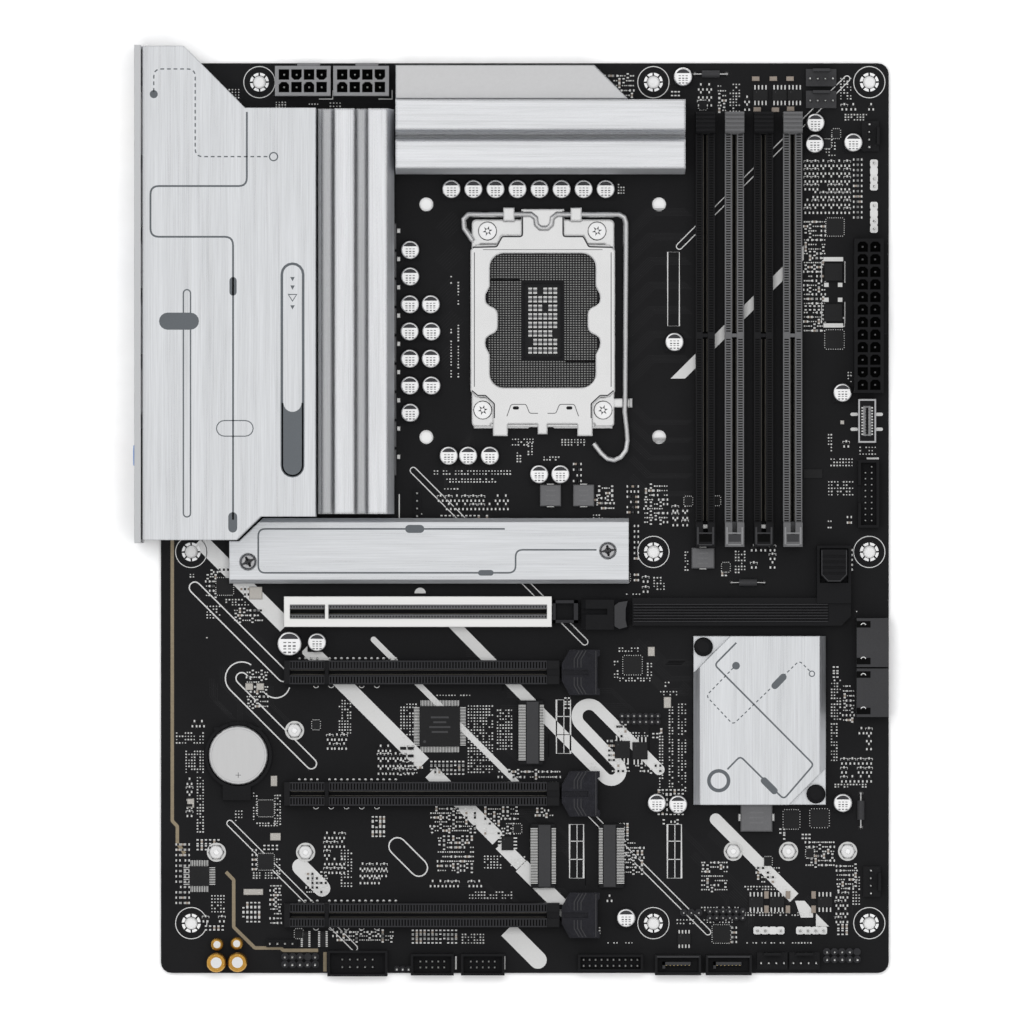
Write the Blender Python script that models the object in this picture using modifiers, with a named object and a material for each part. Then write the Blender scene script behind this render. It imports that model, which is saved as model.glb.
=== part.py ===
"""An ATX motherboard as an assembly of separate pieces.

Every length is in millimetres of board coordinates until place() turns it into metres:
x runs right from the board's port edge, y runs up from its lower edge, and z runs up from
the surface that the board lies on. The world origin is the centre of the assembly's base.
"""
import math

import bmesh
import bpy
from mathutils import Matrix, Vector

MM = 0.001

# Board and levels
BOARD_WIDTH = 244.0
BOARD_HEIGHT = 305.0
BOARD_THICKNESS = 1.6
BOARD_CORNER = 3.6
UNDERSIDE = 2.5
BOARD_TOP = UNDERSIDE + BOARD_THICKNESS
GAP = 0.3
SEAT = BOARD_TOP + GAP

# ATX hole pattern
HOLE_COLUMNS = (10.16, 165.1, 237.49)
HOLE_ROWS = (16.71, 141.17)
TOP_HOLE_ROW = 298.65
TOP_HOLE_FIRST = 33.02
MOUNT_HOLE_RADIUS = 2.1
PEG_RADIUS = 1.0
PEG_CLEARANCE = 0.35

# Processor socket
CPU_X = 128.0
CPU_Y = 218.7
COOLER_PITCH = 78.0
COOLER_HOLE_RADIUS = 2.35
CPU_WIDTH = 37.5
CPU_LENGTH = 45.0
SOCKET_SIZE = (41.6, 50.5)
SOCKET_RIM = SEAT + 4.0
SOCKET_FLOOR = SEAT + 1.9
FRAME_LOW = (104.2, 183.0)
FRAME_HIGH = (152.0, 252.6)
FRAME_THICKNESS = 1.4
PLATE_LOW_Z = SEAT + 4.8
PLATE_THICKNESS = 1.2
WINDOW_SIZE = (35.4, 45.0)
LEVER_RADIUS = 1.0
HINGE_Y = 254.2
HINGE_Z = PLATE_LOW_Z + PLATE_THICKNESS + GAP + LEVER_RADIUS
ILM_SCREWS = ((109.5, 248.7), (146.2, 248.7), (107.9, 188.7), (148.2, 188.7))
ILM_SCREW_HEAD = 3.2
ILM_SCREW_HOLE = 1.95
BRACKETS_X = ((114.8, 118.5), (137.3, 141.0))
RETENTION_TAB = (151.0, 158.0, 189.6, 192.6)
BACKPLATE_THICKNESS = 2.2
BACKPLATE_MARGIN = 3.4

# Memory slots
DIMM_FIRST_X = 182.4
DIMM_PITCH = 9.75
DIMM_COUNT = 4
DIMM_WIDTH = 6.4
DIMM_LOW_Y = 142.9
DIMM_HIGH_Y = 288.4
DIMM_BODY_HEIGHT = 8.4
DIMM_TOWER_LENGTH = 8.2
DIMM_TOWER_HEIGHT = 16.5
DIMM_CHEEK_LENGTH = 7.1
DIMM_CHEEK_HEIGHT = 13.2
DIMM_GROOVE = 1.6
DIMM_KEY_Y = 213.7
DIMM_PEGS_Y = (147.6, 279.0)
DIMM_LATCH_SLOT = 3.9
DIMM_POCKET_LENGTH = 6.6
DIMM_LATCH_TOP = SEAT + 18.0
DIMM_PIVOT_Y = 285.2
DIMM_PIVOT_Z = SEAT + 3.2
LATCH_ROOT_RADIUS = 1.9

# Expansion slots
PCIE_PITCH = 20.32
PCIE_FIRST_Y = 121.2
PCIE_STEPS = (0, 1, 3, 5)
PCIE_START_X = 41.4
PCIE_END_X = 133.6
PCIE_WIDTH = 8.0
PCIE_HEIGHT = 11.2
PCIE_GROOVE = 1.9
PCIE_KEY_X = (55.1, 56.3)
PCIE_GROOVE_X = (43.4, 129.4)
PCIE_EAR_END = 138.8
PCIE_PEGS_X = (46.0, 127.0)
PCIE_EAR_SIDES = ((-3.4, -1.9), (1.9, 3.4))
PCIE_EAR_HEIGHT = 5.9
PCIE_WING = 7.6
PCIE_PIVOT_X = 136.2
PCIE_PIVOT_Z = SEAT + 2.6
ARMOR_WIDTH = 10.2
ARMOR_TOP = SEAT + 11.8
ARMOR_WINDOW = 4.7

# Slot release mechanism
LOCK_PIVOT = (154.6, SEAT + 2.6)
LOCK_Y = (115.2, 125.2)
TRACK_Y = (116.5, 125.8)
TRACK_X = (158.0, 230.6)
TRACK_TOP = SEAT + 7.5
TRACK_CORNER = 3.2
TRACK_RIBS = 6
TRACK_RIB_PITCH = 0.95
TRACK_FIRST_RIB = 118.4
HOUSING = (219.8, 231.2, 124.0, 143.3)
HOUSING_TOP = SEAT + 9.0
BUTTON = (221.1, 229.9, 131.2, 142.0)
BUTTON_TOP = SEAT + 12.0
BUTTON_BOTTOM = SEAT + 5.4

# Heatsinks and cover
COVER_TOP = 44.0
COVER_WALL = 1.6
COVER_ROOF = 2.0
COVER_LOW_Y = 145.2
COVER_STEP_Y = 153.0
COVER_STEP_X = (25.9, 33.9)
COVER_RIGHT = 52.3
COVER_SHOULDER_Y = 289.2
COVER_SHOULDER_X = (8.4, 28.8)
COVER_HIGH_Y = 309.8
RIDGE_TOP = BOARD_TOP + 30.0
LEFT_SINK_X = (52.9, 78.3)
LEFT_SINK_Y = (153.9, 289.2)
TOP_SINK_X = (78.8, 175.6)
TOP_SINK_Y = (267.6, 303.9)
SINK_FOOT = SEAT + 2.6
SINK_ARCH = SEAT + 8.6
M2_SINK_TOP = BOARD_TOP + 12.0
M2_SINK_BASE = BOARD_TOP + 4.7
M2_SCREWS = ((29.4, 137.9), (149.8, 141.6))
M2_SCREW_HEAD = 2.6
M2_SCREW_SINK = 2.6
M2_SINK_Y = (130.6, 152.5)
M2_BEVEL = (1.3, 1.8)
M2_SOCKETS = ((137.4, 130.9, -1), (120.0, 69.9, -1), (124.0, 28.6, -1), (147.0, 28.6, 1))
M2_SOCKET_SIZE = (8.2, 21.5, 4.1)
M2_MOUTH_DEPTH = 4.2
CHIPSET_LOW = (178.5, 56.5)
CHIPSET_HIGH = (222.8, 113.0)
CHIPSET_BASE = BOARD_TOP + 2.4
CHIPSET_TOP = BOARD_TOP + 9.0
CHIPSET_BEVEL = (2.1, 2.4)
CHIPSET_RECESS_LEG = 12.4
CHIPSET_RECESS_FLOOR = BOARD_TOP + 5.2
PUSH_PINS = ((181.8, 109.4), (219.5, 60.1))
PUSH_PIN_RADIUS = 3.2
PUSH_PIN_SHAFT = 1.3

# Port side
SHIELD_OUTER = -8.0
SHIELD_DEPTH = 2.2
SHIELD_SHEET = 0.8
SHIELD_LOW_Y = 144.2
SHIELD_HIGH_Y = 310.0
SHIELD_TOP = 49.0
SHIELD_RIM = 1.4
PORT_FRONT = -7.7
PORT_BACK = 17.0
WINDOW_CLEARANCE = 0.4
USB_SIZE = (12.8, 5.1)
USB_FIRST_Z = SEAT + 4.35
USB_PITCH = 8.1
USB_DEPTH = 11.0
LAN_SIZE = (12.0, 10.0)
LAN_Z = SEAT + 22.6
LAN_DEPTH = 14.0
VIDEO_PORTS = ((SEAT + 6.0, 16.2, 5.0), (SEAT + 19.5, 14.4, 4.9))
JACK_RADIUS = 1.8
JACK_DEPTH = 12.0
JACK_OFFSET_Y = 6.9
JACK_HEIGHTS = (SEAT + 5.5, SEAT + 17.0, SEAT + 28.5)
ANTENNA_RADIUS = 2.2
ANTENNA_DEPTH = 5.0
ANTENNA_OFFSET_Y = 6.0
PORT_TOWERS = {
    "audio_jacks": (150.6, 182.4, 34.0),
    "usb_tower_1": (187.2, 202.2, 33.0),
    "lan_usb_tower": (207.2, 224.0, 30.0),
    "usb_tower_2": (229.2, 244.2, 33.0),
    "display_ports": (249.6, 268.4, 27.0),
    "wifi_antenna_ports": (273.6, 295.6, 11.0),
}

# Power and data connectors
CELL = 3.5
CELL_PITCH = 4.2
CELL_DEPTH = 9.5
POWER_HEIGHT = 12.8
POWER_TAB_Z = (SEAT + 4.6, SEAT + 8.2)
EPS_LOW = ((38.4, 293.8), (57.9, 293.8))
EPS_SIZE = (18.6, 10.0)
ATX_LOW = (232.2, 194.4)
ATX_SIZE = (9.9, 51.6)
ATX_PEGS_Y = (205.0, 236.0)
SATA_SHROUD = (13.8, 4.9)
SATA_STACK_X = (233.0, 243.7)
SATA_STACKS_Y = ((102.7, 119.0), (86.0, 102.2))
SATA_STACK_HEIGHT = 14.6
SATA_STACK_MOUTHS = (SEAT + 3.9, SEAT + 10.7)
SATA_MOUTH_DEPTH = 7.2
SATA_PORTS_X = ((165.6, 181.0), (182.6, 198.0))
SATA_LOW_Y = -0.5
SATA_HIGH_Y = 6.3
SATA_PORT_HEIGHT = 9.0
USB3_HEADER = (233.6, 240.6, 149.3, 172.0)
USB3_HEADER_TOP = SEAT + 8.6
USB3_HEADER_WALL = 0.9
USB_C_HEADER = (233.6, 239.6, 177.7, 192.4)
USB_C_HEADER_TOP = SEAT + 9.0
BATTERY_X = 26.0
BATTERY_Y = 73.0
BATTERY_RADIUS = 10.0
BATTERY_THICKNESS = 3.2

# The assembly's box runs from the shield's face to the board's far edge, and from the
# lower data ports to the shield's far end.
CENTRE_X = (SHIELD_OUTER + BOARD_WIDTH) / 2
CENTRE_Y = (SATA_LOW_Y + SHIELD_HIGH_Y) / 2

FINISHES = {
    "board_black": ((0.020, 0.020, 0.022), 0.55, 0.0),
    "aluminium": ((0.78, 0.79, 0.80), 0.32, 1.0),
    "nickel": ((0.80, 0.80, 0.79), 0.25, 1.0),
    "steel": ((0.62, 0.62, 0.62), 0.35, 1.0),
    "shield_black": ((0.045, 0.045, 0.050), 0.50, 0.3),
    "plastic_black": ((0.030, 0.030, 0.032), 0.45, 0.0),
    "plastic_grey": ((0.16, 0.16, 0.165), 0.50, 0.0),
    "plastic_pale": ((0.36, 0.36, 0.37), 0.50, 0.0),
    "plastic_dark": ((0.065, 0.065, 0.070), 0.45, 0.0),
    "battery_steel": ((0.72, 0.72, 0.71), 0.28, 1.0),
}

PARTS = None
CUTTERS = None
ROOT = None


def clear_scene():
    """Leave the file without any of its starting objects."""
    for obj in list(bpy.data.objects):
        bpy.data.objects.remove(obj, do_unlink=True)


def set_up():
    """Make the collections, and the empty that every piece is parented to."""
    global PARTS, CUTTERS, ROOT
    clear_scene()
    PARTS = bpy.data.collections.new("motherboard")
    CUTTERS = bpy.data.collections.new("cutters")
    for collection in (PARTS, CUTTERS):
        bpy.context.scene.collection.children.link(collection)
    ROOT = bpy.data.objects.new("motherboard", None)
    PARTS.objects.link(ROOT)


def finish_material(key):
    """The Principled BSDF material of one finish, made once."""
    found = bpy.data.materials.get(key)
    if found:
        return found
    colour, roughness, metallic = FINISHES[key]
    material = bpy.data.materials.new(key)
    material.use_nodes = True
    shader = material.node_tree.nodes["Principled BSDF"]
    shader.inputs["Base Color"].default_value = (*colour, 1.0)
    shader.inputs["Roughness"].default_value = roughness
    shader.inputs["Metallic"].default_value = metallic
    return material


def place(x, y, z):
    """World position in metres of a point in board coordinates."""
    return Vector(((x - CENTRE_X) * MM, (y - CENTRE_Y) * MM, z * MM))


def work_object(mesh):
    """A solid that is still being worked on: a tool until keep() makes it a piece."""
    obj = bpy.data.objects.new("work", mesh)
    obj.hide_render = True
    obj.display_type = "WIRE"
    CUTTERS.objects.link(obj)
    return obj


def from_bmesh(bm):
    """A working solid from a bmesh, with its faces turned outwards."""
    bmesh.ops.recalc_face_normals(bm, faces=bm.faces)
    mesh = bpy.data.meshes.new("work")
    bm.to_mesh(mesh)
    bm.free()
    return work_object(mesh)


def evaluated_mesh(obj):
    """The mesh that an object's modifiers or curve settings give."""
    depsgraph = bpy.context.evaluated_depsgraph_get()
    return bpy.data.meshes.new_from_object(obj.evaluated_get(depsgraph))


def weld(mesh, matrix=None):
    """Weld a mesh's loose caps, turn its faces outwards and move it by a matrix."""
    bm = bmesh.new()
    bm.from_mesh(mesh)
    bmesh.ops.remove_doubles(bm, verts=bm.verts, dist=1e-6)
    bmesh.ops.dissolve_degenerate(bm, edges=bm.edges, dist=1e-7)
    if matrix:
        bmesh.ops.transform(bm, matrix=matrix, verts=bm.verts)
    return from_bmesh(bm)


def box(x0, x1, y0, y1, z0, z1):
    """A block between two corners."""
    bm = bmesh.new()
    bmesh.ops.create_cube(bm, size=1.0)
    low, high = place(x0, y0, z0), place(x1, y1, z1)
    bmesh.ops.scale(bm, vec=high - low, verts=bm.verts)
    bmesh.ops.translate(bm, vec=(low + high) / 2, verts=bm.verts)
    return from_bmesh(bm)


def cylinder(centre, radius, length, axis="Z", sides=16):
    """A round bar about its centre, along one axis."""
    bm = bmesh.new()
    turn = {"X": Matrix.Rotation(math.pi / 2, 4, "Y"), "Y": Matrix.Rotation(math.pi / 2, 4, "X")}
    matrix = Matrix.Translation(place(*centre)) @ turn.get(axis, Matrix.Identity(4))
    bmesh.ops.create_cone(bm, cap_ends=True, segments=sides, radius1=radius * MM,
                          radius2=radius * MM, depth=length * MM, matrix=matrix)
    return from_bmesh(bm)


def peg(x, y):
    """A locating peg that runs through the board to the resting surface."""
    top = SEAT + 1.0
    return cylinder((x, y, top / 2), PEG_RADIUS, top, sides=12)


def rectangle(x0, x1, y0, y1):
    return [(x0, y0), (x1, y0), (x1, y1), (x0, y1)]


def arc(x, y, radius, start, end, steps):
    """Points along an arc, with its angles in degrees."""
    angles = [math.radians(start + (end - start) * i / steps) for i in range(steps + 1)]
    return [(x + radius * math.cos(a), y + radius * math.sin(a)) for a in angles]


def circle(x, y, radius, sides=16):
    return arc(x, y, radius, 0, 360, sides)[:-1]


def rounded_rectangle(x0, x1, y0, y1, radius, steps=4):
    corners = ((x1 - radius, y1 - radius, 0), (x0 + radius, y1 - radius, 90),
               (x0 + radius, y0 + radius, 180), (x1 - radius, y0 + radius, 270))
    points = []
    for x, y, start in corners:
        points += arc(x, y, radius, start, start + 90, steps)
    return points


# Each plane's matrix turns an outline drawn in (u, v), with w as its thickness.
PLANES = {
    "XY": Matrix.Identity(4),
    "YZ": Matrix(((0, 0, 1, 0), (1, 0, 0, 0), (0, 1, 0, 0), (0, 0, 0, 1))),
    "XZ": Matrix(((1, 0, 0, 0), (0, 0, -1, 0), (0, 1, 0, 0), (0, 0, 0, 1))),
}
# The world origin in each plane's (u, v), and across it.
PLANE_SHIFTS = {
    "XY": (CENTRE_X, CENTRE_Y, 0),
    "YZ": (CENTRE_Y, 0, CENTRE_X),
    "XZ": (CENTRE_X, 0, CENTRE_Y),
}


def plate(outlines, start, end, plane="XY"):
    """A slab of a flat outline and its holes, between two levels across its plane."""
    shift = PLANE_SHIFTS[plane]
    curve = bpy.data.curves.new("outline", "CURVE")
    curve.dimensions = "2D"
    curve.fill_mode = "BOTH"
    curve.extrude = (end - start) / 2 * MM
    for outline in outlines:
        spline = curve.splines.new("POLY")
        spline.points.add(len(outline) - 1)
        spline.use_cyclic_u = True
        for point, (u, v) in zip(spline.points, outline):
            point.co = ((u - shift[0]) * MM, (v - shift[1]) * MM, 0.0, 1.0)
    holder = bpy.data.objects.new("outline", curve)
    CUTTERS.objects.link(holder)
    mesh = evaluated_mesh(holder)
    bpy.data.objects.remove(holder, do_unlink=True)
    middle = ((start + end) / 2 - shift[2]) * MM
    if plane == "XZ":
        middle = -middle
    return weld(mesh, PLANES[plane] @ Matrix.Translation((0, 0, middle)))


def turned(profile, x, y, sides=20):
    """A round piece about a vertical axis, from (radius, height) points, top to bottom."""
    mesh = bpy.data.meshes.new("profile")
    mesh.from_pydata([(r * MM, 0, z * MM) for r, z in profile],
                     [(i, i + 1) for i in range(len(profile) - 1)], [])
    holder = work_object(mesh)
    screw = holder.modifiers.new("turn", "SCREW")
    screw.steps = sides
    screw.render_steps = sides
    screw.use_merge_vertices = True
    screw.merge_threshold = 0.00001
    result = weld(evaluated_mesh(holder), Matrix.Translation(place(x, y, 0)))
    bpy.data.objects.remove(holder, do_unlink=True)
    return result


def tube(points, radius):
    """A bent round rod through the points."""
    curve = bpy.data.curves.new("rod", "CURVE")
    curve.dimensions = "3D"
    curve.bevel_depth = radius * MM
    curve.bevel_resolution = 2
    curve.use_fill_caps = True
    spline = curve.splines.new("POLY")
    spline.points.add(len(points) - 1)
    for point, position in zip(spline.points, points):
        point.co = (*place(*position), 1.0)
    holder = bpy.data.objects.new("rod", curve)
    CUTTERS.objects.link(holder)
    mesh = evaluated_mesh(holder)
    bpy.data.objects.remove(holder, do_unlink=True)
    return weld(mesh)


def combine(target, tools, operation):
    """Join the tools to the target or cut them from it, and remove them."""
    for tool in tools:
        modifier = target.modifiers.new(operation.lower(), "BOOLEAN")
        modifier.operation = operation
        modifier.object = tool
    result = weld(evaluated_mesh(target))
    for used in [target, *tools]:
        bpy.data.objects.remove(used, do_unlink=True)
    return result


def join(target, *tools):
    return combine(target, tools, "UNION")


def cut(target, *tools):
    return combine(target, tools, "DIFFERENCE")


def keep(obj, name, finish, pivot=None, smooth=False):
    """Name a finished solid, set its origin, give it its material and file it."""
    mesh = obj.data
    corners = [v.co for v in mesh.vertices]
    low = Vector([min(c[i] for c in corners) for i in range(3)])
    high = Vector([max(c[i] for c in corners) for i in range(3)])
    origin = place(*pivot) if pivot else (low + high) / 2
    mesh.transform(Matrix.Translation(-origin))
    obj.location = origin
    obj.parent = ROOT
    obj.name = name
    mesh.name = name
    mesh.materials.clear()
    mesh.materials.append(finish_material(finish))
    if smooth:
        mesh.shade_smooth()
        mesh.set_sharp_from_angle(angle=math.radians(35))
    CUTTERS.objects.unlink(obj)
    PARTS.objects.link(obj)
    obj.hide_render = False
    obj.display_type = "TEXTURED"
    return obj


def dimm_x(index):
    return DIMM_FIRST_X + DIMM_PITCH * index


def pcie_y(index):
    return PCIE_FIRST_Y - PCIE_PITCH * PCIE_STEPS[index]


def peg_places():
    """Where a locating peg comes through the board."""
    places = [(dimm_x(i), y) for i in range(DIMM_COUNT) for y in DIMM_PEGS_Y]
    places += [(x, pcie_y(i)) for i in range(len(PCIE_STEPS)) for x in PCIE_PEGS_X]
    places += [(x + EPS_SIZE[0] / 2, y + EPS_SIZE[1] / 2) for x, y in EPS_LOW]
    places += [(ATX_LOW[0] + ATX_SIZE[0] / 2, y) for y in ATX_PEGS_Y]
    return places


def make_board():
    outlines = [rounded_rectangle(0, BOARD_WIDTH, 0, BOARD_HEIGHT, BOARD_CORNER)]
    mounts = [(x, y) for x in HOLE_COLUMNS for y in HOLE_ROWS]
    mounts += [(x, TOP_HOLE_ROW) for x in (TOP_HOLE_FIRST, *HOLE_COLUMNS[1:])]
    outlines += [circle(x, y, MOUNT_HOLE_RADIUS, 24) for x, y in mounts]
    half = COOLER_PITCH / 2
    cooler = [(CPU_X + dx, CPU_Y + dy) for dx in (-half, half) for dy in (-half, half)]
    outlines += [circle(x, y, COOLER_HOLE_RADIUS, 20) for x, y in cooler]
    outlines += [circle(x, y, ILM_SCREW_HOLE, 12) for x, y in ILM_SCREWS]
    outlines += [circle(x, y, PUSH_PIN_SHAFT + PEG_CLEARANCE, 12) for x, y in PUSH_PINS]
    outlines += [circle(x, y, PEG_RADIUS + PEG_CLEARANCE, 12) for x, y in peg_places()]
    keep(plate(outlines, UNDERSIDE, BOARD_TOP), "pcb", "board_black")


def make_backplate():
    """Steel plate under the socket that the loading frame's screws thread into."""
    x0, y0 = (low - BACKPLATE_MARGIN for low in FRAME_LOW)
    x1, y1 = (high + BACKPLATE_MARGIN for high in FRAME_HIGH)
    outer = rounded_rectangle(x0, x1, y0, y1, 5.0)
    inner = rounded_rectangle(CPU_X - 15, CPU_X + 15, CPU_Y - 20, CPU_Y + 20, 2.0)
    holes = [circle(x, y, ILM_SCREW_HOLE, 12) for x, y in ILM_SCREWS]
    keep(plate([outer, inner, *holes], 0, BACKPLATE_THICKNESS), "socket_backplate", "steel")


def centred_box(half_x, half_y, z0, z1):
    """A block about the processor's centre."""
    return box(CPU_X - half_x, CPU_X + half_x, CPU_Y - half_y, CPU_Y + half_y, z0, z1)


def make_socket():
    half_x, half_y = SOCKET_SIZE[0] / 2, SOCKET_SIZE[1] / 2
    play = 0.25
    body = centred_box(half_x, half_y, SEAT, SOCKET_RIM)
    well = centred_box(CPU_WIDTH / 2 + play, CPU_LENGTH / 2 + play, SOCKET_FLOOR, SOCKET_RIM + 1)
    cavity = centred_box(6.2, 12.4, SEAT + 0.7, SOCKET_FLOOR + 1)
    notches = centred_box(half_x + 1, 4.5, SOCKET_FLOOR + 0.6, SOCKET_RIM + 1)
    keep(cut(body, well, cavity, notches), "cpu_socket", "plastic_grey")


def make_loading_frame():
    """Stamped frame round the socket, with the lever's two bearings and its catch."""
    low, high = FRAME_LOW, FRAME_HIGH
    clear_x = SOCKET_SIZE[0] / 2 + GAP
    clear_y = SOCKET_SIZE[1] / 2 + GAP
    top = SEAT + FRAME_THICKNESS
    outer = rounded_rectangle(low[0], high[0], low[1], high[1], 1.5, 3)
    inner = rectangle(CPU_X - clear_x, CPU_X + clear_x, CPU_Y - clear_y, CPU_Y + clear_y)
    holes = [circle(x, y, ILM_SCREW_HOLE, 12) for x, y in ILM_SCREWS]
    base = plate([outer, inner, *holes], SEAT, top)
    bottom = SEAT + 0.2
    sides = [box(x, x + 1.0, 196.0, 241.5, bottom, SEAT + 4.2) for x in (low[0], high[0] - 1.0)]
    lip = box(110.5, 145.5, low[1], low[1] + 1.2, bottom, SEAT + 3.6)
    reach = 2.2
    bearings = []
    for x0, x1 in BRACKETS_X:
        bearings.append(box(x0, x1, 249.5, HINGE_Y + reach, bottom, top))
        bearings.append(box(x0, x1, HINGE_Y - reach, HINGE_Y + reach, bottom, HINGE_Z + 2.1))
    x0, x1, y0, y1 = RETENTION_TAB
    tab = box(x0, x1, y0, y1, SEAT + 0.1, top - 0.1)
    catch = box(x1 - 0.8, x1, y0, y1, SEAT + 0.1, SEAT + 5.0)
    frame = join(base, *sides, lip, *bearings, tab, catch)
    bore = cylinder((CPU_X, HINGE_Y, HINGE_Z), LEVER_RADIUS + 0.3, 40, "X", 12)
    keep(cut(frame, bore), "ilm_frame", "nickel")


def make_load_plate():
    """Hinged plate that presses the processor down, with a window for its lid."""
    half_w, half_h = WINDOW_SIZE[0] / 2, WINDOW_SIZE[1] / 2
    outline = [
        (105.6, 193.1), (108.6, 193.1), (111.3, 190.6), (111.3, 180.0), (116.3, 180.0),
        (116.3, 184.0), (126.3, 184.0), (126.3, 180.6), (129.6, 180.6), (129.6, 184.0),
        (139.6, 184.0), (139.6, 180.0), (144.7, 180.0), (144.7, 190.6), (147.4, 193.1),
        (150.4, 193.1), (152.2, 195.0), (152.2, 242.2), (150.4, 244.1), (143.4, 244.1),
        (141.9, 247.4), (135.2, 247.4), (135.2, 256.0), (120.8, 256.0), (120.8, 247.4),
        (114.0, 247.4), (112.5, 244.1), (105.6, 244.1), (103.8, 242.2), (103.8, 195.0),
    ]
    side = [
        (half_w, -11.5), (half_w + 0.6, -10.3), (half_w + 1.3, -8.9), (half_w + 1.5, -7.3),
        (half_w + 1.2, -5.9), (half_w, -4.9), (half_w - 1.5, -4.2), (half_w - 2.4, -3.2),
        (half_w - 2.7, -1.9), (half_w - 2.7, 1.9), (half_w - 2.4, 3.2), (half_w - 1.5, 4.2),
        (half_w, 4.9), (half_w + 1.2, 5.9), (half_w + 1.5, 7.3), (half_w + 1.3, 8.9),
        (half_w + 0.6, 10.3), (half_w, 11.5),
    ]
    corner = 4.6
    right = arc(half_w - corner, corner - half_h, corner, 270, 360, 6) + side
    right += arc(half_w - corner, half_h - corner, corner, 0, 90, 6)
    left = [(-u, -v) for u, v in right]
    window = [(CPU_X + u, CPU_Y + v) for u, v in right + left]
    slab = plate([outline, window], PLATE_LOW_Z, PLATE_LOW_Z + PLATE_THICKNESS)
    keep(slab, "load_plate", "nickel", pivot=(CPU_X, HINGE_Y, HINGE_Z))


def make_lever():
    """Bent steel lever: tail, bearing stretch with its crank, arm and finger hook."""
    z = HINGE_Z
    low = SEAT + FRAME_THICKNESS + 1.4
    tail = [(104.6, 245.2, z), (101.6, 249.6, z), (101.4, 252.6, z), (103.0, HINGE_Y, z)]
    crank = [(124.0, HINGE_Y, z), (125.6, 253.0, z), (125.9, 250.8, z), (127.2, 249.6, z),
             (129.6, 249.6, z), (130.9, 250.8, z), (131.2, 253.0, z), (132.8, HINGE_Y, z)]
    arm = [(153.6, HINGE_Y, z), (155.3, 253.3, z), (155.9, 251.4, z), (155.9, 244.0, z - 0.4),
           (155.6, 192.0, low), (155.5, 188.0, low), (156.1, 182.5, low), (156.4, 178.5, low + 0.1)]
    hook = [(155.9, 175.2, low + 0.2), (154.2, 172.9, low + 0.4), (151.9, 171.9, low + 0.6),
            (149.6, 172.4, low + 0.8), (147.6, 174.2, low + 1.0), (145.0, 177.6, low + 1.2)]
    rod = tube(tail + crank + arm + hook, LEVER_RADIUS)
    keep(rod, "load_lever", "nickel", pivot=(CPU_X, HINGE_Y, HINGE_Z), smooth=True)


def make_ilm_screws():
    seat = SEAT + FRAME_THICKNESS + GAP
    for index, (x, y) in enumerate(ILM_SCREWS):
        profile = [(0, seat + 1.3), (1.2, seat + 1.3), (1.4, seat + 2.0), (2.7, seat + 2.0),
                   (ILM_SCREW_HEAD, seat + 1.5), (ILM_SCREW_HEAD, seat), (1.6, seat), (1.6, 0.5),
                   (0, 0.5)]
        keep(turned(profile, x, y, 16), f"ilm_screw_{index + 1}", "steel", smooth=True)


def make_memory_slot(index):
    """Slot body with a fixed tower at one end and the latch's two cheeks at the other."""
    x = dimm_x(index)
    half = DIMM_WIDTH / 2
    tower_end = DIMM_LOW_Y + DIMM_TOWER_LENGTH
    cheeks_start = DIMM_HIGH_Y - DIMM_CHEEK_LENGTH
    inside = SEAT + 1
    body = box(x - half, x + half, DIMM_LOW_Y, DIMM_HIGH_Y, SEAT, SEAT + DIMM_BODY_HEIGHT)
    tower = box(x - half, x + half, DIMM_LOW_Y, tower_end, inside, SEAT + DIMM_TOWER_HEIGHT)
    cheeks = box(x - half, x + half, cheeks_start, DIMM_HIGH_Y, inside, SEAT + DIMM_CHEEK_HEIGHT)
    solid = join(body, tower, cheeks, *[peg(x, y) for y in DIMM_PEGS_Y])
    groove = DIMM_GROOVE / 2
    floor = SEAT + 2.4
    high = SEAT + DIMM_TOWER_HEIGHT + 1
    half_key = 0.6
    groove_end = DIMM_HIGH_Y - 6.0
    runs = ((DIMM_LOW_Y + 3.4, DIMM_KEY_Y - half_key), (DIMM_KEY_Y + half_key, groove_end))
    grooves = [box(x - groove, x + groove, y0, y1, floor, high) for y0, y1 in runs]
    room = DIMM_LATCH_SLOT / 2
    pocket_floor = DIMM_PIVOT_Z - LATCH_ROOT_RADIUS - GAP
    pocket_start = DIMM_HIGH_Y - DIMM_POCKET_LENGTH
    pocket = box(x - room, x + room, pocket_start, DIMM_HIGH_Y + 1, pocket_floor, high)
    throat = box(x - room, x + room, cheeks_start - 1, groove_end, SEAT + DIMM_BODY_HEIGHT, high)
    solid = cut(solid, *grooves, pocket, throat)
    keep(solid, f"dimm_slot_{index + 1}", "plastic_dark" if index % 2 == 0 else "plastic_grey")


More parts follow.
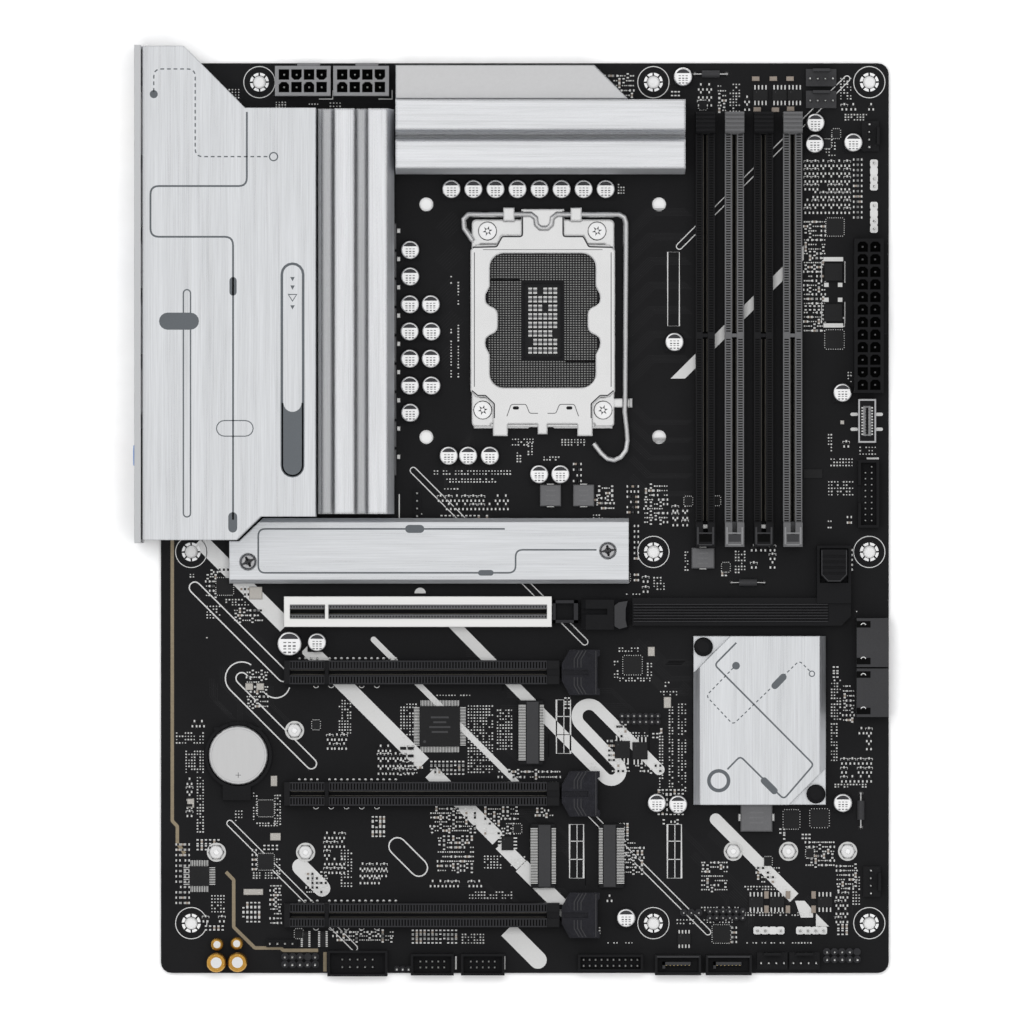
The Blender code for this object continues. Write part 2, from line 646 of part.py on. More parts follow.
def make_memory_latch(index):
    """Latch with a rounded root on its pivot, a hook for the module and a ridged head."""
    x = dimm_x(index)
    y, z = DIMM_PIVOT_Y, DIMM_PIVOT_Z
    radius = LATCH_ROOT_RADIUS
    stem_top = SEAT + 15.0
    stem = arc(y, z, radius, 180, 360, 6) + [(y + radius, stem_top), (y - radius, stem_top),
                                             (y - radius, SEAT + 13.0), (y - 4.2, SEAT + 12.6),
                                             (y - 4.2, SEAT + 11.4), (y - radius, SEAT + 10.0)]
    low_y, high_y = DIMM_HIGH_Y - DIMM_CHEEK_LENGTH, DIMM_HIGH_Y
    head_low = SEAT + DIMM_CHEEK_HEIGHT + 0.7
    head_top = DIMM_LATCH_TOP
    ridges = 5
    pitch = (high_y - low_y) / ridges
    crest = []
    for ridge in range(ridges):
        start = high_y - ridge * pitch
        crest += [(start, head_top), (start - 0.55 * pitch, head_top),
                  (start - 0.62 * pitch, head_top - 0.6), (start - 0.93 * pitch, head_top - 0.6)]
    head = [(low_y, head_low), (high_y, head_low)] + crest + [(low_y, head_top)]
    half = DIMM_WIDTH / 2
    solid = join(plate([stem], x - 1.6, x + 1.6, "YZ"), plate([head], x - half, x + half, "YZ"))
    keep(solid, f"dimm_latch_{index + 1}", "plastic_dark" if index % 2 == 0 else "plastic_grey",
         pivot=(x, y, z))


def slot_grooves(y, width, top):
    """The contact groove of an expansion slot, in two runs with the key between them."""
    runs = ((PCIE_GROOVE_X[0], PCIE_KEY_X[0]), (PCIE_KEY_X[1], PCIE_GROOVE_X[1]))
    return [box(x0, x1, y - width / 2, y + width / 2, SEAT + 2.6, top + 1) for x0, x1 in runs]


def make_plain_slot(index):
    """Full-length expansion slot with a fork that carries its latch."""
    y = pcie_y(index)
    half = PCIE_WIDTH / 2
    top = SEAT + PCIE_HEIGHT
    body = box(PCIE_START_X, PCIE_END_X, y - half, y + half, SEAT, top)
    ears = [box(PCIE_END_X - 2, PCIE_EAR_END, y + a, y + b, SEAT, SEAT + PCIE_EAR_HEIGHT)
            for a, b in PCIE_EAR_SIDES]
    solid = join(body, *ears, *[peg(x, y) for x in PCIE_PEGS_X])
    keep(cut(solid, *slot_grooves(y, PCIE_GROOVE, top)), f"pcie_slot_{index + 1}", "plastic_dark")


def make_plain_latch(index):
    """Winged latch that tips down about its root to free a card."""
    y = pcie_y(index)
    x, z = PCIE_PIVOT_X, PCIE_PIVOT_Z
    radius = LATCH_ROOT_RADIUS
    neck = arc(x, z, radius, 180, 360, 6) + [(x + radius, SEAT + 8.4), (x - radius, SEAT + 8.4)]
    stem = plate([neck], y - 1.6, y + 1.6, "XZ")
    wing = PCIE_WING
    outline = [(134.4, y - 2.9), (137.0, y - wing), (147.1, y - wing), (147.1, y - wing + 2.0),
               (146.3, y - wing + 2.4), (146.3, y + wing - 2.4), (147.1, y + wing - 2.0),
               (147.1, y + wing), (137.0, y + wing), (134.4, y + 2.9)]
    head = plate([outline], SEAT + 7.4, SEAT + 11.2)
    solid = join(stem, head)
    hook_slot = box(x - 3, 143.2, y - 0.9, y + 0.9, SEAT + 8.9, SEAT + 12)
    keep(cut(solid, hook_slot), f"pcie_latch_{index + 1}", "plastic_dark", pivot=(x, y, z))


def make_armored_slot():
    """The first slot: a moulded body inside a folded steel armor."""
    y = pcie_y(0)
    body_half = 3.9
    body_top = SEAT + 10.6
    body = box(PCIE_START_X + 1.2, 129.8, y - body_half, y + body_half, SEAT, body_top)
    solid = join(body, *[peg(x, y) for x in PCIE_PEGS_X])
    keep(cut(solid, *slot_grooves(y, PCIE_GROOVE, body_top)), "pcie_slot_1", "plastic_dark")

    half = ARMOR_WIDTH / 2
    shell = box(PCIE_START_X, 131.0, y - half, y + half, SEAT, ARMOR_TOP)
    room = body_half + GAP
    inside = box(PCIE_START_X + 0.9, 130.1, y - room, y + room, SEAT - 1, body_top + GAP)
    windows = slot_grooves(y, ARMOR_WINDOW, ARMOR_TOP)
    keep(cut(shell, inside, *windows), "pcie_slot_1_armor", "nickel")


def make_slot_lock():
    """Lock at the end of the first slot, tipped back by the release button."""
    profile = [(140.9, SEAT + 3.0), (146.0, SEAT + 0.9), (156.6, SEAT + 0.9), (156.6, SEAT + 5.6),
               (151.8, SEAT + 10.4), (142.4, SEAT + 10.4), (140.9, SEAT + 9.0)]
    block = plate([profile], *LOCK_Y, "XZ")
    middle = pcie_y(0)
    hook_slot = box(139, 149.6, middle - 1.0, middle + 1.0, SEAT + 5.6, SEAT + 12)
    keep(cut(block, hook_slot), "pcie_latch_1", "plastic_grey",
         pivot=(LOCK_PIVOT[0], middle, LOCK_PIVOT[1]))


def make_release_track():
    """Ribbed guide that carries the pull from the button to the lock."""
    low_y, high_y = TRACK_Y
    far = HOUSING[1]
    outline = [(TRACK_X[0], low_y), (far - TRACK_CORNER, low_y), (far, low_y + TRACK_CORNER),
               (far, high_y), (TRACK_X[0], high_y)]
    arm = plate([outline], SEAT, TRACK_TOP)
    x0, x1, y0, y1 = HOUSING
    housing = box(x0, x1, y0, y1, SEAT, HOUSING_TOP)
    solid = join(arm, housing)
    gap = WINDOW_CLEARANCE
    bx0, bx1, by0, by1 = BUTTON
    well = box(bx0 - gap, bx1 + gap, by0 - gap, by1 + gap, SEAT + 2.4, HOUSING_TOP + 1)
    grooves = []
    for rib in range(TRACK_RIBS):
        y = TRACK_FIRST_RIB + TRACK_RIB_PITCH * rib
        half = TRACK_RIB_PITCH / 4
        grooves.append(box(TRACK_X[0] - 1, x0 + 4.0, y - half, y + half, TRACK_TOP - 0.6, TRACK_TOP + 1))
    keep(cut(solid, well, *grooves), "release_track", "plastic_black")


def make_release_button():
    x0, x1, y0, y1 = BUTTON
    chamfer = 2.2
    outline = [(x0 + chamfer, y0), (x1 - chamfer, y0), (x1, y0 + chamfer), (x1, y1), (x0, y1),
               (x0, y0 + chamfer)]
    cap = plate([outline], BUTTON_BOTTOM, BUTTON_TOP)
    ridges = [box(x0 - 1, x1 + 1, y, y + 0.9, BUTTON_TOP - 0.7, BUTTON_TOP + 1)
              for y in [y0 + 2.4 + 1.9 * i for i in range(4)]]
    keep(cut(cap, *ridges), "release_button", "plastic_black")


def port_cavity(y, z, width, height, depth):
    """A socket's opening, centred on y and z in the port face."""
    half_w, half_h = width / 2, height / 2
    return box(PORT_FRONT - 1, PORT_FRONT + depth, y - half_w, y + half_w, z - half_h, z + half_h)


def make_shield():
    """Port plate: a shallow tray with a window for each stack of sockets."""
    inner = SHIELD_OUTER + SHIELD_DEPTH
    rim = box(SHIELD_OUTER, inner, SHIELD_LOW_Y, SHIELD_HIGH_Y, 0, SHIELD_TOP)
    tray = box(SHIELD_OUTER + SHIELD_SHEET, inner + 1, SHIELD_LOW_Y + SHIELD_RIM,
               SHIELD_HIGH_Y - SHIELD_RIM, SHIELD_RIM, SHIELD_TOP - SHIELD_RIM)
    room = WINDOW_CLEARANCE
    windows = [box(SHIELD_OUTER - 1, inner + 1, y0 - room, y1 + room, SEAT - room, SEAT + high + room)
               for y0, y1, high in PORT_TOWERS.values()]
    keep(cut(rim, tray, *windows), "io_shield", "shield_black")


def make_tower(name, cavities, finish):
    """One stack of sockets, with its cavities cut from the port face."""
    y0, y1, height = PORT_TOWERS[name]
    block = box(PORT_FRONT, PORT_BACK, y0, y1, SEAT, SEAT + height)
    keep(cut(block, *cavities), name, finish)


def make_ports():
    """The stacked sockets that look out through the shield's windows."""
    middle = {name: (y0 + y1) / 2 for name, (y0, y1, _) in PORT_TOWERS.items()}

    def usb(name, count):
        return [port_cavity(middle[name], USB_FIRST_Z + USB_PITCH * i, *USB_SIZE, USB_DEPTH)
                for i in range(count)]

    def bores(name, offset, levels, radius, depth):
        return [cylinder((PORT_FRONT, middle[name] + dy, z), radius, 2 * depth, "X", 12)
                for dy in (-offset, offset) for z in levels]

    make_tower("usb_tower_1", usb("usb_tower_1", 4), "steel")
    make_tower("usb_tower_2", usb("usb_tower_2", 4), "steel")
    lan = port_cavity(middle["lan_usb_tower"], LAN_Z, *LAN_SIZE, LAN_DEPTH)
    make_tower("lan_usb_tower", [*usb("lan_usb_tower", 2), lan], "steel")
    video = [port_cavity(middle["display_ports"], *port, USB_DEPTH) for port in VIDEO_PORTS]
    make_tower("display_ports", video, "steel")
    jacks = bores("audio_jacks", JACK_OFFSET_Y, JACK_HEIGHTS, JACK_RADIUS, JACK_DEPTH)
    make_tower("audio_jacks", jacks, "plastic_black")
    antennas = bores("wifi_antenna_ports", ANTENNA_OFFSET_Y, [SEAT + 5.5], ANTENNA_RADIUS, ANTENNA_DEPTH)
    make_tower("wifi_antenna_ports", antennas, "nickel")


def make_cover():
    """Aluminium shroud over the rear ports, open below and towards the shield."""
    left = SHIELD_OUTER + SHIELD_DEPTH + 0.4
    step_x0, step_x1 = COVER_STEP_X
    shoulder_x0, shoulder_x1 = COVER_SHOULDER_X
    outer = [(left, COVER_LOW_Y), (step_x0, COVER_LOW_Y), (step_x1, COVER_STEP_Y),
             (COVER_RIGHT, COVER_STEP_Y), (COVER_RIGHT, COVER_SHOULDER_Y),
             (shoulder_x1, COVER_SHOULDER_Y), (shoulder_x0, COVER_HIGH_Y), (left, COVER_HIGH_Y)]
    w = COVER_WALL
    slant = w * math.tan(math.radians(22.5))
    inner = [(left - 5, COVER_LOW_Y + w), (step_x0 - slant, COVER_LOW_Y + w),
             (step_x1 - slant, COVER_STEP_Y + w), (COVER_RIGHT - w, COVER_STEP_Y + w),
             (COVER_RIGHT - w, COVER_SHOULDER_Y - w), (shoulder_x1 - slant, COVER_SHOULDER_Y - w),
             (shoulder_x0 - slant, COVER_HIGH_Y - w), (left - 5, COVER_HIGH_Y - w)]
    shell = cut(plate([outer], SEAT, COVER_TOP), plate([inner], SEAT - 1, COVER_TOP - COVER_ROOF))
    keep(shell, "io_cover", "aluminium")


def make_left_heatsink():
    """Regulator heatsink beside the cover: ridges along the board's height."""
    high = RIDGE_TOP
    left, right = LEFT_SINK_X
    arch = right - 9.9
    profile = [
        (left, SINK_FOOT), (arch, SINK_FOOT), (arch, SINK_ARCH), (right, SINK_ARCH),
        (right, high - 18.0), (76.1, high), (69.7, high), (69.7, high - 7.0), (69.0, high - 7.0),
        (69.0, high - 5.0), (65.9, high - 5.0), (65.9, high - 8.0), (65.1, high - 8.0), (65.1, high),
        (58.5, high), (58.5, high - 9.0), (57.7, high - 9.0), (57.7, high - 5.0), (54.2, high - 5.0),
        (54.2, high - 7.0), (left, high - 7.0),
    ]
    keep(plate([profile], *LEFT_SINK_Y, "XZ"), "vrm_heatsink_left", "aluminium")


def make_top_heatsink():
    """Regulator heatsink above the socket: ridges across the board."""
    high = RIDGE_TOP
    low_y, high_y = TOP_SINK_Y
    arch = low_y + 9.4
    profile = [
        (low_y, high - 20.0), (low_y, SINK_ARCH), (arch, SINK_ARCH), (arch, SINK_FOOT),
        (high_y, SINK_FOOT), (high_y, high - 8.0), (292.8, high - 8.0), (292.8, high - 10.0),
        (292.2, high - 10.0), (292.2, high), (282.1, high), (281.4, high - 4.0), (280.6, high - 4.0),
        (280.6, high - 8.0), (279.6, high - 8.0), (279.6, high - 4.0), (279.0, high - 4.0),
        (278.4, high), (269.2, high),
    ]
    block = plate([profile], *TOP_SINK_X, "YZ")
    corner = [(156.6, 292.5), (180.0, 292.5), (180.0, 310.0), (144.9, 310.0), (144.9, 304.2)]
    keep(cut(block, plate([corner], SEAT, RIDGE_TOP + 1)), "vrm_heatsink_top", "aluminium")


def make_power_connector(name, low, size, columns, rows, tab, pegs, finish):
    """Power inlet: a block of square cells, with a ledge that the plug clips over."""
    x0, y0 = low
    x1, y1 = x0 + size[0], y0 + size[1]
    top = SEAT + POWER_HEIGHT
    ledge = box(*tab, *POWER_TAB_Z)
    solid = join(box(x0, x1, y0, y1, SEAT, top), ledge, *[peg(x, y) for x, y in pegs])
    first_x = (x0 + x1) / 2 - CELL_PITCH * (columns - 1) / 2
    first_y = (y0 + y1) / 2 - CELL_PITCH * (rows - 1) / 2
    half = CELL / 2
    cells = []
    for column in range(columns):
        for row in range(rows):
            x, y = first_x + CELL_PITCH * column, first_y + CELL_PITCH * row
            cells.append(box(x - half, x + half, y - half, y + half, top - CELL_DEPTH, top + 1))
    keep(cut(solid, *cells), name, finish)


def make_power_connectors():
    for index, (x, y) in enumerate(EPS_LOW):
        tab = (x + 7.4, x + 15.0, y + EPS_SIZE[1] - 0.5, y + EPS_SIZE[1] + 1.1)
        pegs = [(x + EPS_SIZE[0] / 2, y + EPS_SIZE[1] / 2)]
        name = f"eps_power_connector_{index + 1}"
        make_power_connector(name, (x, y), EPS_SIZE, 4, 2, tab, pegs, "plastic_pale")
    x, y = ATX_LOW
    tab = (x + ATX_SIZE[0] - 0.5, x + ATX_SIZE[0] + 1.3, 214.2, 222.0)
    pegs = [(x + ATX_SIZE[0] / 2, peg_y) for peg_y in ATX_PEGS_Y]
    name = "atx_power_connector"
    make_power_connector(name, ATX_LOW, ATX_SIZE, 2, 12, tab, pegs, "plastic_black")


def bevel_tool(edge, level, bevel, span, plane):
    """A wedge that takes a slope off a straight edge, outwards from a block's side.

    The edge runs across the plane at this u, with the block's top at this level. A negative
    width slopes the other side.
    """
    width, drop = bevel
    slope = drop / abs(width)
    side = math.copysign(1.0, width)
    outline = [(edge - side, level - drop - slope), (edge + width + side, level + slope),
               (edge - side, level + slope)]
    return plate([outline], *span, plane)


def make_m2_heatsink():
    """Lift-off drive heatsink on two feet, with a captive screw at each end."""
    top, base = M2_SINK_TOP, M2_SINK_BASE
    low_y, high_y = M2_SINK_Y
    left, right = 23.1, 156.8
    outline = [(left, low_y), (right, low_y), (right, high_y), (34.4, high_y), (26.4, 144.8),
               (left, 144.8)]
    feet = (24.5, 34.5, 131.5, 144.0), (146.4, 155.8, 131.5, 151.5)
    solid = join(plate([outline], base, top), *[box(*foot, SEAT, base + 0.5) for foot in feet])
    seats = [cylinder((x, y, top), M2_SCREW_HEAD + GAP, 2 * M2_SCREW_SINK) for x, y in M2_SCREWS]
    bores = [cylinder((x, y, base), 1.6, 40, sides=12) for x, y in M2_SCREWS]
    width, drop = M2_BEVEL
    span = (left - 1, right + 1)
    bevels = [bevel_tool(low_y, top, (width, drop), span, "YZ"),
              bevel_tool(high_y, top, (-width, drop), span, "YZ")]
    keep(cut(solid, *seats, *bores, *bevels), "m2_heatsink", "aluminium")
    for index, (x, y) in enumerate(M2_SCREWS):
        seat = top - M2_SCREW_SINK + GAP
        profile = [(0, seat + 1.2), (0.9, seat + 1.2), (1.1, seat + 1.9), (2.1, seat + 1.9),
                   (M2_SCREW_HEAD, seat + 1.5), (M2_SCREW_HEAD, seat), (1.25, seat), (1.25, SEAT),
                   (0, SEAT)]
        keep(turned(profile, x, y, 16), f"m2_heatsink_screw_{index + 1}", "nickel", smooth=True)


def make_m2_sockets():
    """Edge sockets for drive cards: each opens towards its card's standoff."""
    width, length, height = M2_SOCKET_SIZE
    for index, (x, y, side) in enumerate(M2_SOCKETS):
        body = box(x, x + width, y, y + length, SEAT, SEAT + height)
        if side < 0:
            mouth_x = (x - 1, x + M2_MOUTH_DEPTH)
        else:
            mouth_x = (x + width - M2_MOUTH_DEPTH, x + width + 1)
        mouth = box(*mouth_x, y + 1.0, y + length - 1.0, SEAT + 1.6, SEAT + 3.0)
        keep(cut(body, mouth), f"m2_socket_{index + 1}", "plastic_grey")


def make_chipset():
    x0, y0 = CHIPSET_LOW
    x1, y1 = CHIPSET_HIGH
    leg = CHIPSET_RECESS_LEG
    block = box(x0, x1, y0, y1, CHIPSET_BASE, CHIPSET_TOP)
    corners = ([(x0 - 1, y1 - leg - 1), (x0 + leg + 1, y1 + 1), (x0 - 1, y1 + 1)],
               [(x1 + 1, y0 + leg + 1), (x1 - leg - 1, y0 - 1), (x1 + 1, y0 - 1)])
    recesses = [plate([corner], CHIPSET_RECESS_FLOOR, CHIPSET_TOP + 7) for corner in corners]
    bore_radius = PUSH_PIN_SHAFT + PEG_CLEARANCE
    bores = [cylinder((x, y, CHIPSET_BASE), bore_radius, 20, sides=12) for x, y in PUSH_PINS]
    width, drop = CHIPSET_BEVEL
    span = (y0 - 1, y1 + 1)
    bevels = [bevel_tool(x0, CHIPSET_TOP, (width, drop), span, "XZ"),
              bevel_tool(x1, CHIPSET_TOP, (-width, drop), span, "XZ")]
    keep(cut(block, *recesses, *bores, *bevels), "chipset_heatsink", "aluminium")
    seat = CHIPSET_RECESS_FLOOR + GAP
    for index, (x, y) in enumerate(PUSH_PINS):
        profile = [(0, seat + 3.4), (1.9, seat + 3.4), (2.8, seat + 3.0), (PUSH_PIN_RADIUS, seat + 2.2),
                   (PUSH_PIN_RADIUS, seat), (PUSH_PIN_SHAFT, seat), (PUSH_PIN_SHAFT, 0.6), (0, 0.6)]
        keep(turned(profile, x, y), f"push_pin_{index + 1}", "plastic_black", smooth=True)


def make_battery():
    x, y = BATTERY_X, BATTERY_Y
    floor = SEAT + 1.0
    r = BATTERY_RADIUS
    base = floor + GAP
    top = base + BATTERY_THICKNESS
    profile = [(0, top), (r - 0.5, top), (r, top - 0.5), (r, base + 0.8), (r - 0.9, base + 0.6),
               (r - 1.1, base), (0, base)]
    keep(turned(profile, x, y, 32), "battery", "battery_steel", smooth=True)
    cup = turned([(0, top - 0.3), (r + 1.3, top - 0.3), (r + 1.3, SEAT), (0, SEAT)], x, y, 32)
    cup = join(cup, box(x - 5.2, x + 4.2, y - r - 5.0, y - r, SEAT, top - 0.1))
    hollow = turned([(0, top + 2), (r + GAP, top + 2), (r + GAP, floor), (0, floor)], x, y, 32)
    notch = box(x - 3.4, x + 3.4, y + r - 2, y + r + 3, floor + 0.8, top + 1)
    keep(cut(cup, hollow, notch), "battery_holder", "plastic_black")


def make_data_ports():
    """Drive data ports: two stacked pairs facing the board's edge, and two facing up."""
    half_w, half_h = SATA_SHROUD[0] / 2, SATA_SHROUD[1] / 2
    x0, x1 = SATA_STACK_X
    for index, (y0, y1) in enumerate(SATA_STACKS_Y):
        block = box(x0, x1, y0, y1, SEAT, SEAT + SATA_STACK_HEIGHT)
        middle = (y0 + y1) / 2
        mouths = [box(x1 - SATA_MOUTH_DEPTH, x1 + 1, middle - half_w, middle + half_w, z - half_h, z + half_h)
                  for z in SATA_STACK_MOUTHS]
        keep(cut(block, *mouths), f"sata_stack_{index + 1}", "plastic_dark")
    for index, (left, right) in enumerate(SATA_PORTS_X):
        block = box(left, right, SATA_LOW_Y, SATA_HIGH_Y, SEAT, SEAT + SATA_PORT_HEIGHT)
        x, y = (left + right) / 2, (SATA_LOW_Y + SATA_HIGH_Y) / 2
        mouth = box(x - half_w, x + half_w, y - half_h, y + half_h, SEAT + 2.2, SEAT + SATA_PORT_HEIGHT + 1)
        keep(cut(block, mouth), f"sata_port_{index + 1}", "plastic_dark")


def make_front_headers():
    """Front-panel connectors at the board's right edge."""
    x0, x1, y0, y1 = USB3_HEADER
    w = USB3_HEADER_WALL
    block = box(x0, x1, y0, y1, SEAT, USB3_HEADER_TOP)
    cavity = box(x0 + w, x1 - w, y0 + w, y1 - w, SEAT + 1.4, USB3_HEADER_TOP + 1)
    key = box(x0 - 1, x0 + w + 0.5, 157.6, 163.6, SEAT + 2.4, USB3_HEADER_TOP + 1)
    keep(cut(block, cavity, key), "usb3_header", "plastic_black")
    x0, x1, y0, y1 = USB_C_HEADER
    block = box(x0, x1, y0, y1, SEAT, USB_C_HEADER_TOP)
    cavity = box(x0 + 1.6, x1 - 1.6, y0 + 2.3, y1 - 2.3, SEAT + 3.6, USB_C_HEADER_TOP + 1)
    keep(cut(block, cavity), "usb_c_header", "steel")


def main():
    set_up()
    make_board()
    make_backplate()
    make_socket()
    make_loading_frame()
    make_load_plate()
    make_lever()
    make_ilm_screws()
    for index in range(DIMM_COUNT):
        make_memory_slot(index)
        make_memory_latch(index)
    make_armored_slot()
    make_slot_lock()
    make_release_track()
    make_release_button()
    for index in range(1, len(PCIE_STEPS)):
        make_plain_slot(index)
        make_plain_latch(index)
    make_shield()
    make_ports()
    make_cover()
    make_left_heatsink()
    make_top_heatsink()
    make_power_connectors()
    make_m2_heatsink()
    make_m2_sockets()
    make_chipset()
    make_battery()
    make_data_ports()
    make_front_headers()


main()
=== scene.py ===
"""The looks of an ATX motherboard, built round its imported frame.

Lengths are millimetres of board coordinates until place() turns them into metres: x runs
right from the board's port edge, y runs up from its lower edge, and z runs up from the
surface that the board lies on.
"""

import math
import random

import bpy
from mathutils import Matrix, Vector


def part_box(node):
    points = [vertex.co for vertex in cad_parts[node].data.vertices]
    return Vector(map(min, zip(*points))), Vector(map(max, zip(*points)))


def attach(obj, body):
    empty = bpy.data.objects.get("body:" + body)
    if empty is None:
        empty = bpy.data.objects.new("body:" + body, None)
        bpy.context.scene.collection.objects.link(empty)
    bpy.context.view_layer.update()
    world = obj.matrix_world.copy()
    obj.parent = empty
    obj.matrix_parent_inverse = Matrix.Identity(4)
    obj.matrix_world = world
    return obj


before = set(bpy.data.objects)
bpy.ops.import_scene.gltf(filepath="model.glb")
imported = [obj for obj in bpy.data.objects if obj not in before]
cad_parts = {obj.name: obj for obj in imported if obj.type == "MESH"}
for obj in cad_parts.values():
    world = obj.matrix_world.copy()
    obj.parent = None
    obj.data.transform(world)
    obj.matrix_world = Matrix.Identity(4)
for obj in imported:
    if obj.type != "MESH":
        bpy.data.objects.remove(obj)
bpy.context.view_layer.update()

MM = 0.001
PCB_LOW, PCB_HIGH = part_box("pcb")
UNDERSIDE = PCB_LOW.z / MM
TOP = PCB_HIGH.z / MM
SEAT = TOP + 0.3


def place(x, y, z):
    """World position in metres of a point in board coordinates."""
    return Vector((PCB_LOW.x + x * MM, PCB_LOW.y + y * MM, z * MM))


def node_box(name):
    """A CAD node's lowest and highest corners in board millimetres: x0, x1, y0, y1, z0, z1."""
    low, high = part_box(name)
    low = (low - Vector((PCB_LOW.x, PCB_LOW.y, 0))) / MM
    high = (high - Vector((PCB_LOW.x, PCB_LOW.y, 0))) / MM
    return low.x, high.x, low.y, high.y, low.z, high.z


# ---------------------------------------------------------------- materials

# Each plain finish: colour, roughness, metallic, specular level, grain size in mm, swing of
# the colour, swing of the roughness, bump height in mm.
FINISHES = {
    "plastic_black": ((0.0065, 0.0065, 0.0072), 0.50, 0.0, 0.13, 0.5, 0.25, 0.10, 0.010),
    "plastic_dark": ((0.0075, 0.0075, 0.0082), 0.48, 0.0, 0.14, 0.5, 0.25, 0.10, 0.010),
    "plastic_grey": ((0.1000, 0.1000, 0.1030), 0.52, 0.0, 0.25, 0.4, 0.12, 0.10, 0.010),
    "plastic_slate": ((0.0340, 0.0340, 0.0360), 0.52, 0.0, 0.20, 0.4, 0.15, 0.10, 0.008),
    "plastic_pale": ((0.1850, 0.1850, 0.1900), 0.50, 0.0, 0.25, 0.4, 0.08, 0.10, 0.008),
    "plastic_white": ((0.5600, 0.5600, 0.5550), 0.45, 0.0, 0.35, 0.5, 0.05, 0.08, 0.006),
    "latch_smoke": ((0.009, 0.009, 0.012), 0.24, 0.0, 0.14, 2.0, 0.30, 0.12, 0.006),
    "jack_blue": ((0.060, 0.210, 0.560), 0.40, 0.0, 0.40, 0.5, 0.06, 0.08, 0.006),
    "jack_green": ((0.120, 0.400, 0.140), 0.40, 0.0, 0.40, 0.5, 0.06, 0.08, 0.006),
    "jack_pink": ((0.560, 0.180, 0.230), 0.40, 0.0, 0.40, 0.5, 0.06, 0.08, 0.006),
    "port_blue": ((0.020, 0.090, 0.360), 0.42, 0.0, 0.40, 0.5, 0.08, 0.08, 0.006),
    # Near-black used as painted shade in holes, cells, channels and gaps.
    "painted_shade_black": ((0.003, 0.003, 0.003), 0.70, 0.0, 0.05, 1.0, 0.20, 0.05, 0.004),
    "chip_epoxy": ((0.0125, 0.0125, 0.0130), 0.55, 0.0, 0.16, 0.3, 0.30, 0.10, 0.006),
    "chip_mark": ((0.045, 0.045, 0.047), 0.60, 0.0, 0.20, 0.3, 0.15, 0.05, 0.003),
    "solder_tin": ((0.70, 0.70, 0.69), 0.34, 1.0, 0.5, 0.25, 0.12, 0.15, 0.010),
    "pin_gold": ((0.88, 0.66, 0.28), 0.28, 1.0, 0.5, 0.4, 0.08, 0.10, 0.004),
    "can_aluminium": ((0.86, 0.86, 0.86), 0.30, 1.0, 0.5, 0.6, 0.06, 0.12, 0.006),
    "can_top": ((0.7200, 0.7200, 0.7200), 0.42, 0.15, 0.4, 0.5, 0.05, 0.10, 0.004),
    "can_mark": ((0.0280, 0.0280, 0.0310), 0.45, 0.0, 0.30, 0.5, 0.20, 0.08, 0.003),
    "can_print": ((0.1200, 0.1200, 0.1240), 0.50, 0.0, 0.30, 0.5, 0.15, 0.05, 0.002),
    "gold_sleeve": ((0.50, 0.27, 0.050), 0.25, 0.85, 0.5, 1.2, 0.15, 0.10, 0.006),
    "ferrite": ((0.1120, 0.1120, 0.1160), 0.55, 0.15, 0.35, 0.25, 0.18, 0.12, 0.012),
    "ceramic_tan": ((0.2200, 0.1850, 0.1550), 0.45, 0.0, 0.35, 0.3, 0.15, 0.10, 0.004),
    "crystal_lid": ((0.4600, 0.4400, 0.4100), 0.35, 0.8, 0.4, 0.5, 0.06, 0.10, 0.003),
    "silk_white": ((0.5200, 0.5200, 0.5150), 0.60, 0.0, 0.20, 0.6, 0.04, 0.10, 0.003),
    "ink_tan": ((0.2250, 0.1850, 0.1250), 0.45, 0.3, 0.30, 0.8, 0.15, 0.10, 0.003),
    "trace_mask": ((0.0110, 0.0110, 0.0118), 0.38, 0.0, 0.15, 0.8, 0.20, 0.08, 0.002),
    "engraving": ((0.0940, 0.1030, 0.1120), 0.55, 0.0, 0.25, 0.5, 0.08, 0.10, 0.004),
    "pin_bed": ((0.0120, 0.0120, 0.0130), 0.55, 0.0, 0.15, 0.4, 0.20, 0.10, 0.006),
    "slot_rung": ((0.0200, 0.0200, 0.0220), 0.50, 0.0, 0.18, 0.4, 0.20, 0.10, 0.006),
    "pin_tip": ((0.205, 0.205, 0.20), 0.40, 0.3, 0.4, 0.4, 0.12, 0.10, 0.002),
    "pad_tin": ((0.50, 0.50, 0.49), 0.40, 0.4, 0.4, 0.25, 0.20, 0.12, 0.006),
    # Contacts deep in the slots, darkened as painted shade.
    "contact_painted_shade": ((0.16, 0.15, 0.13), 0.40, 1.0, 0.4, 0.4, 0.15, 0.10, 0.004),
}


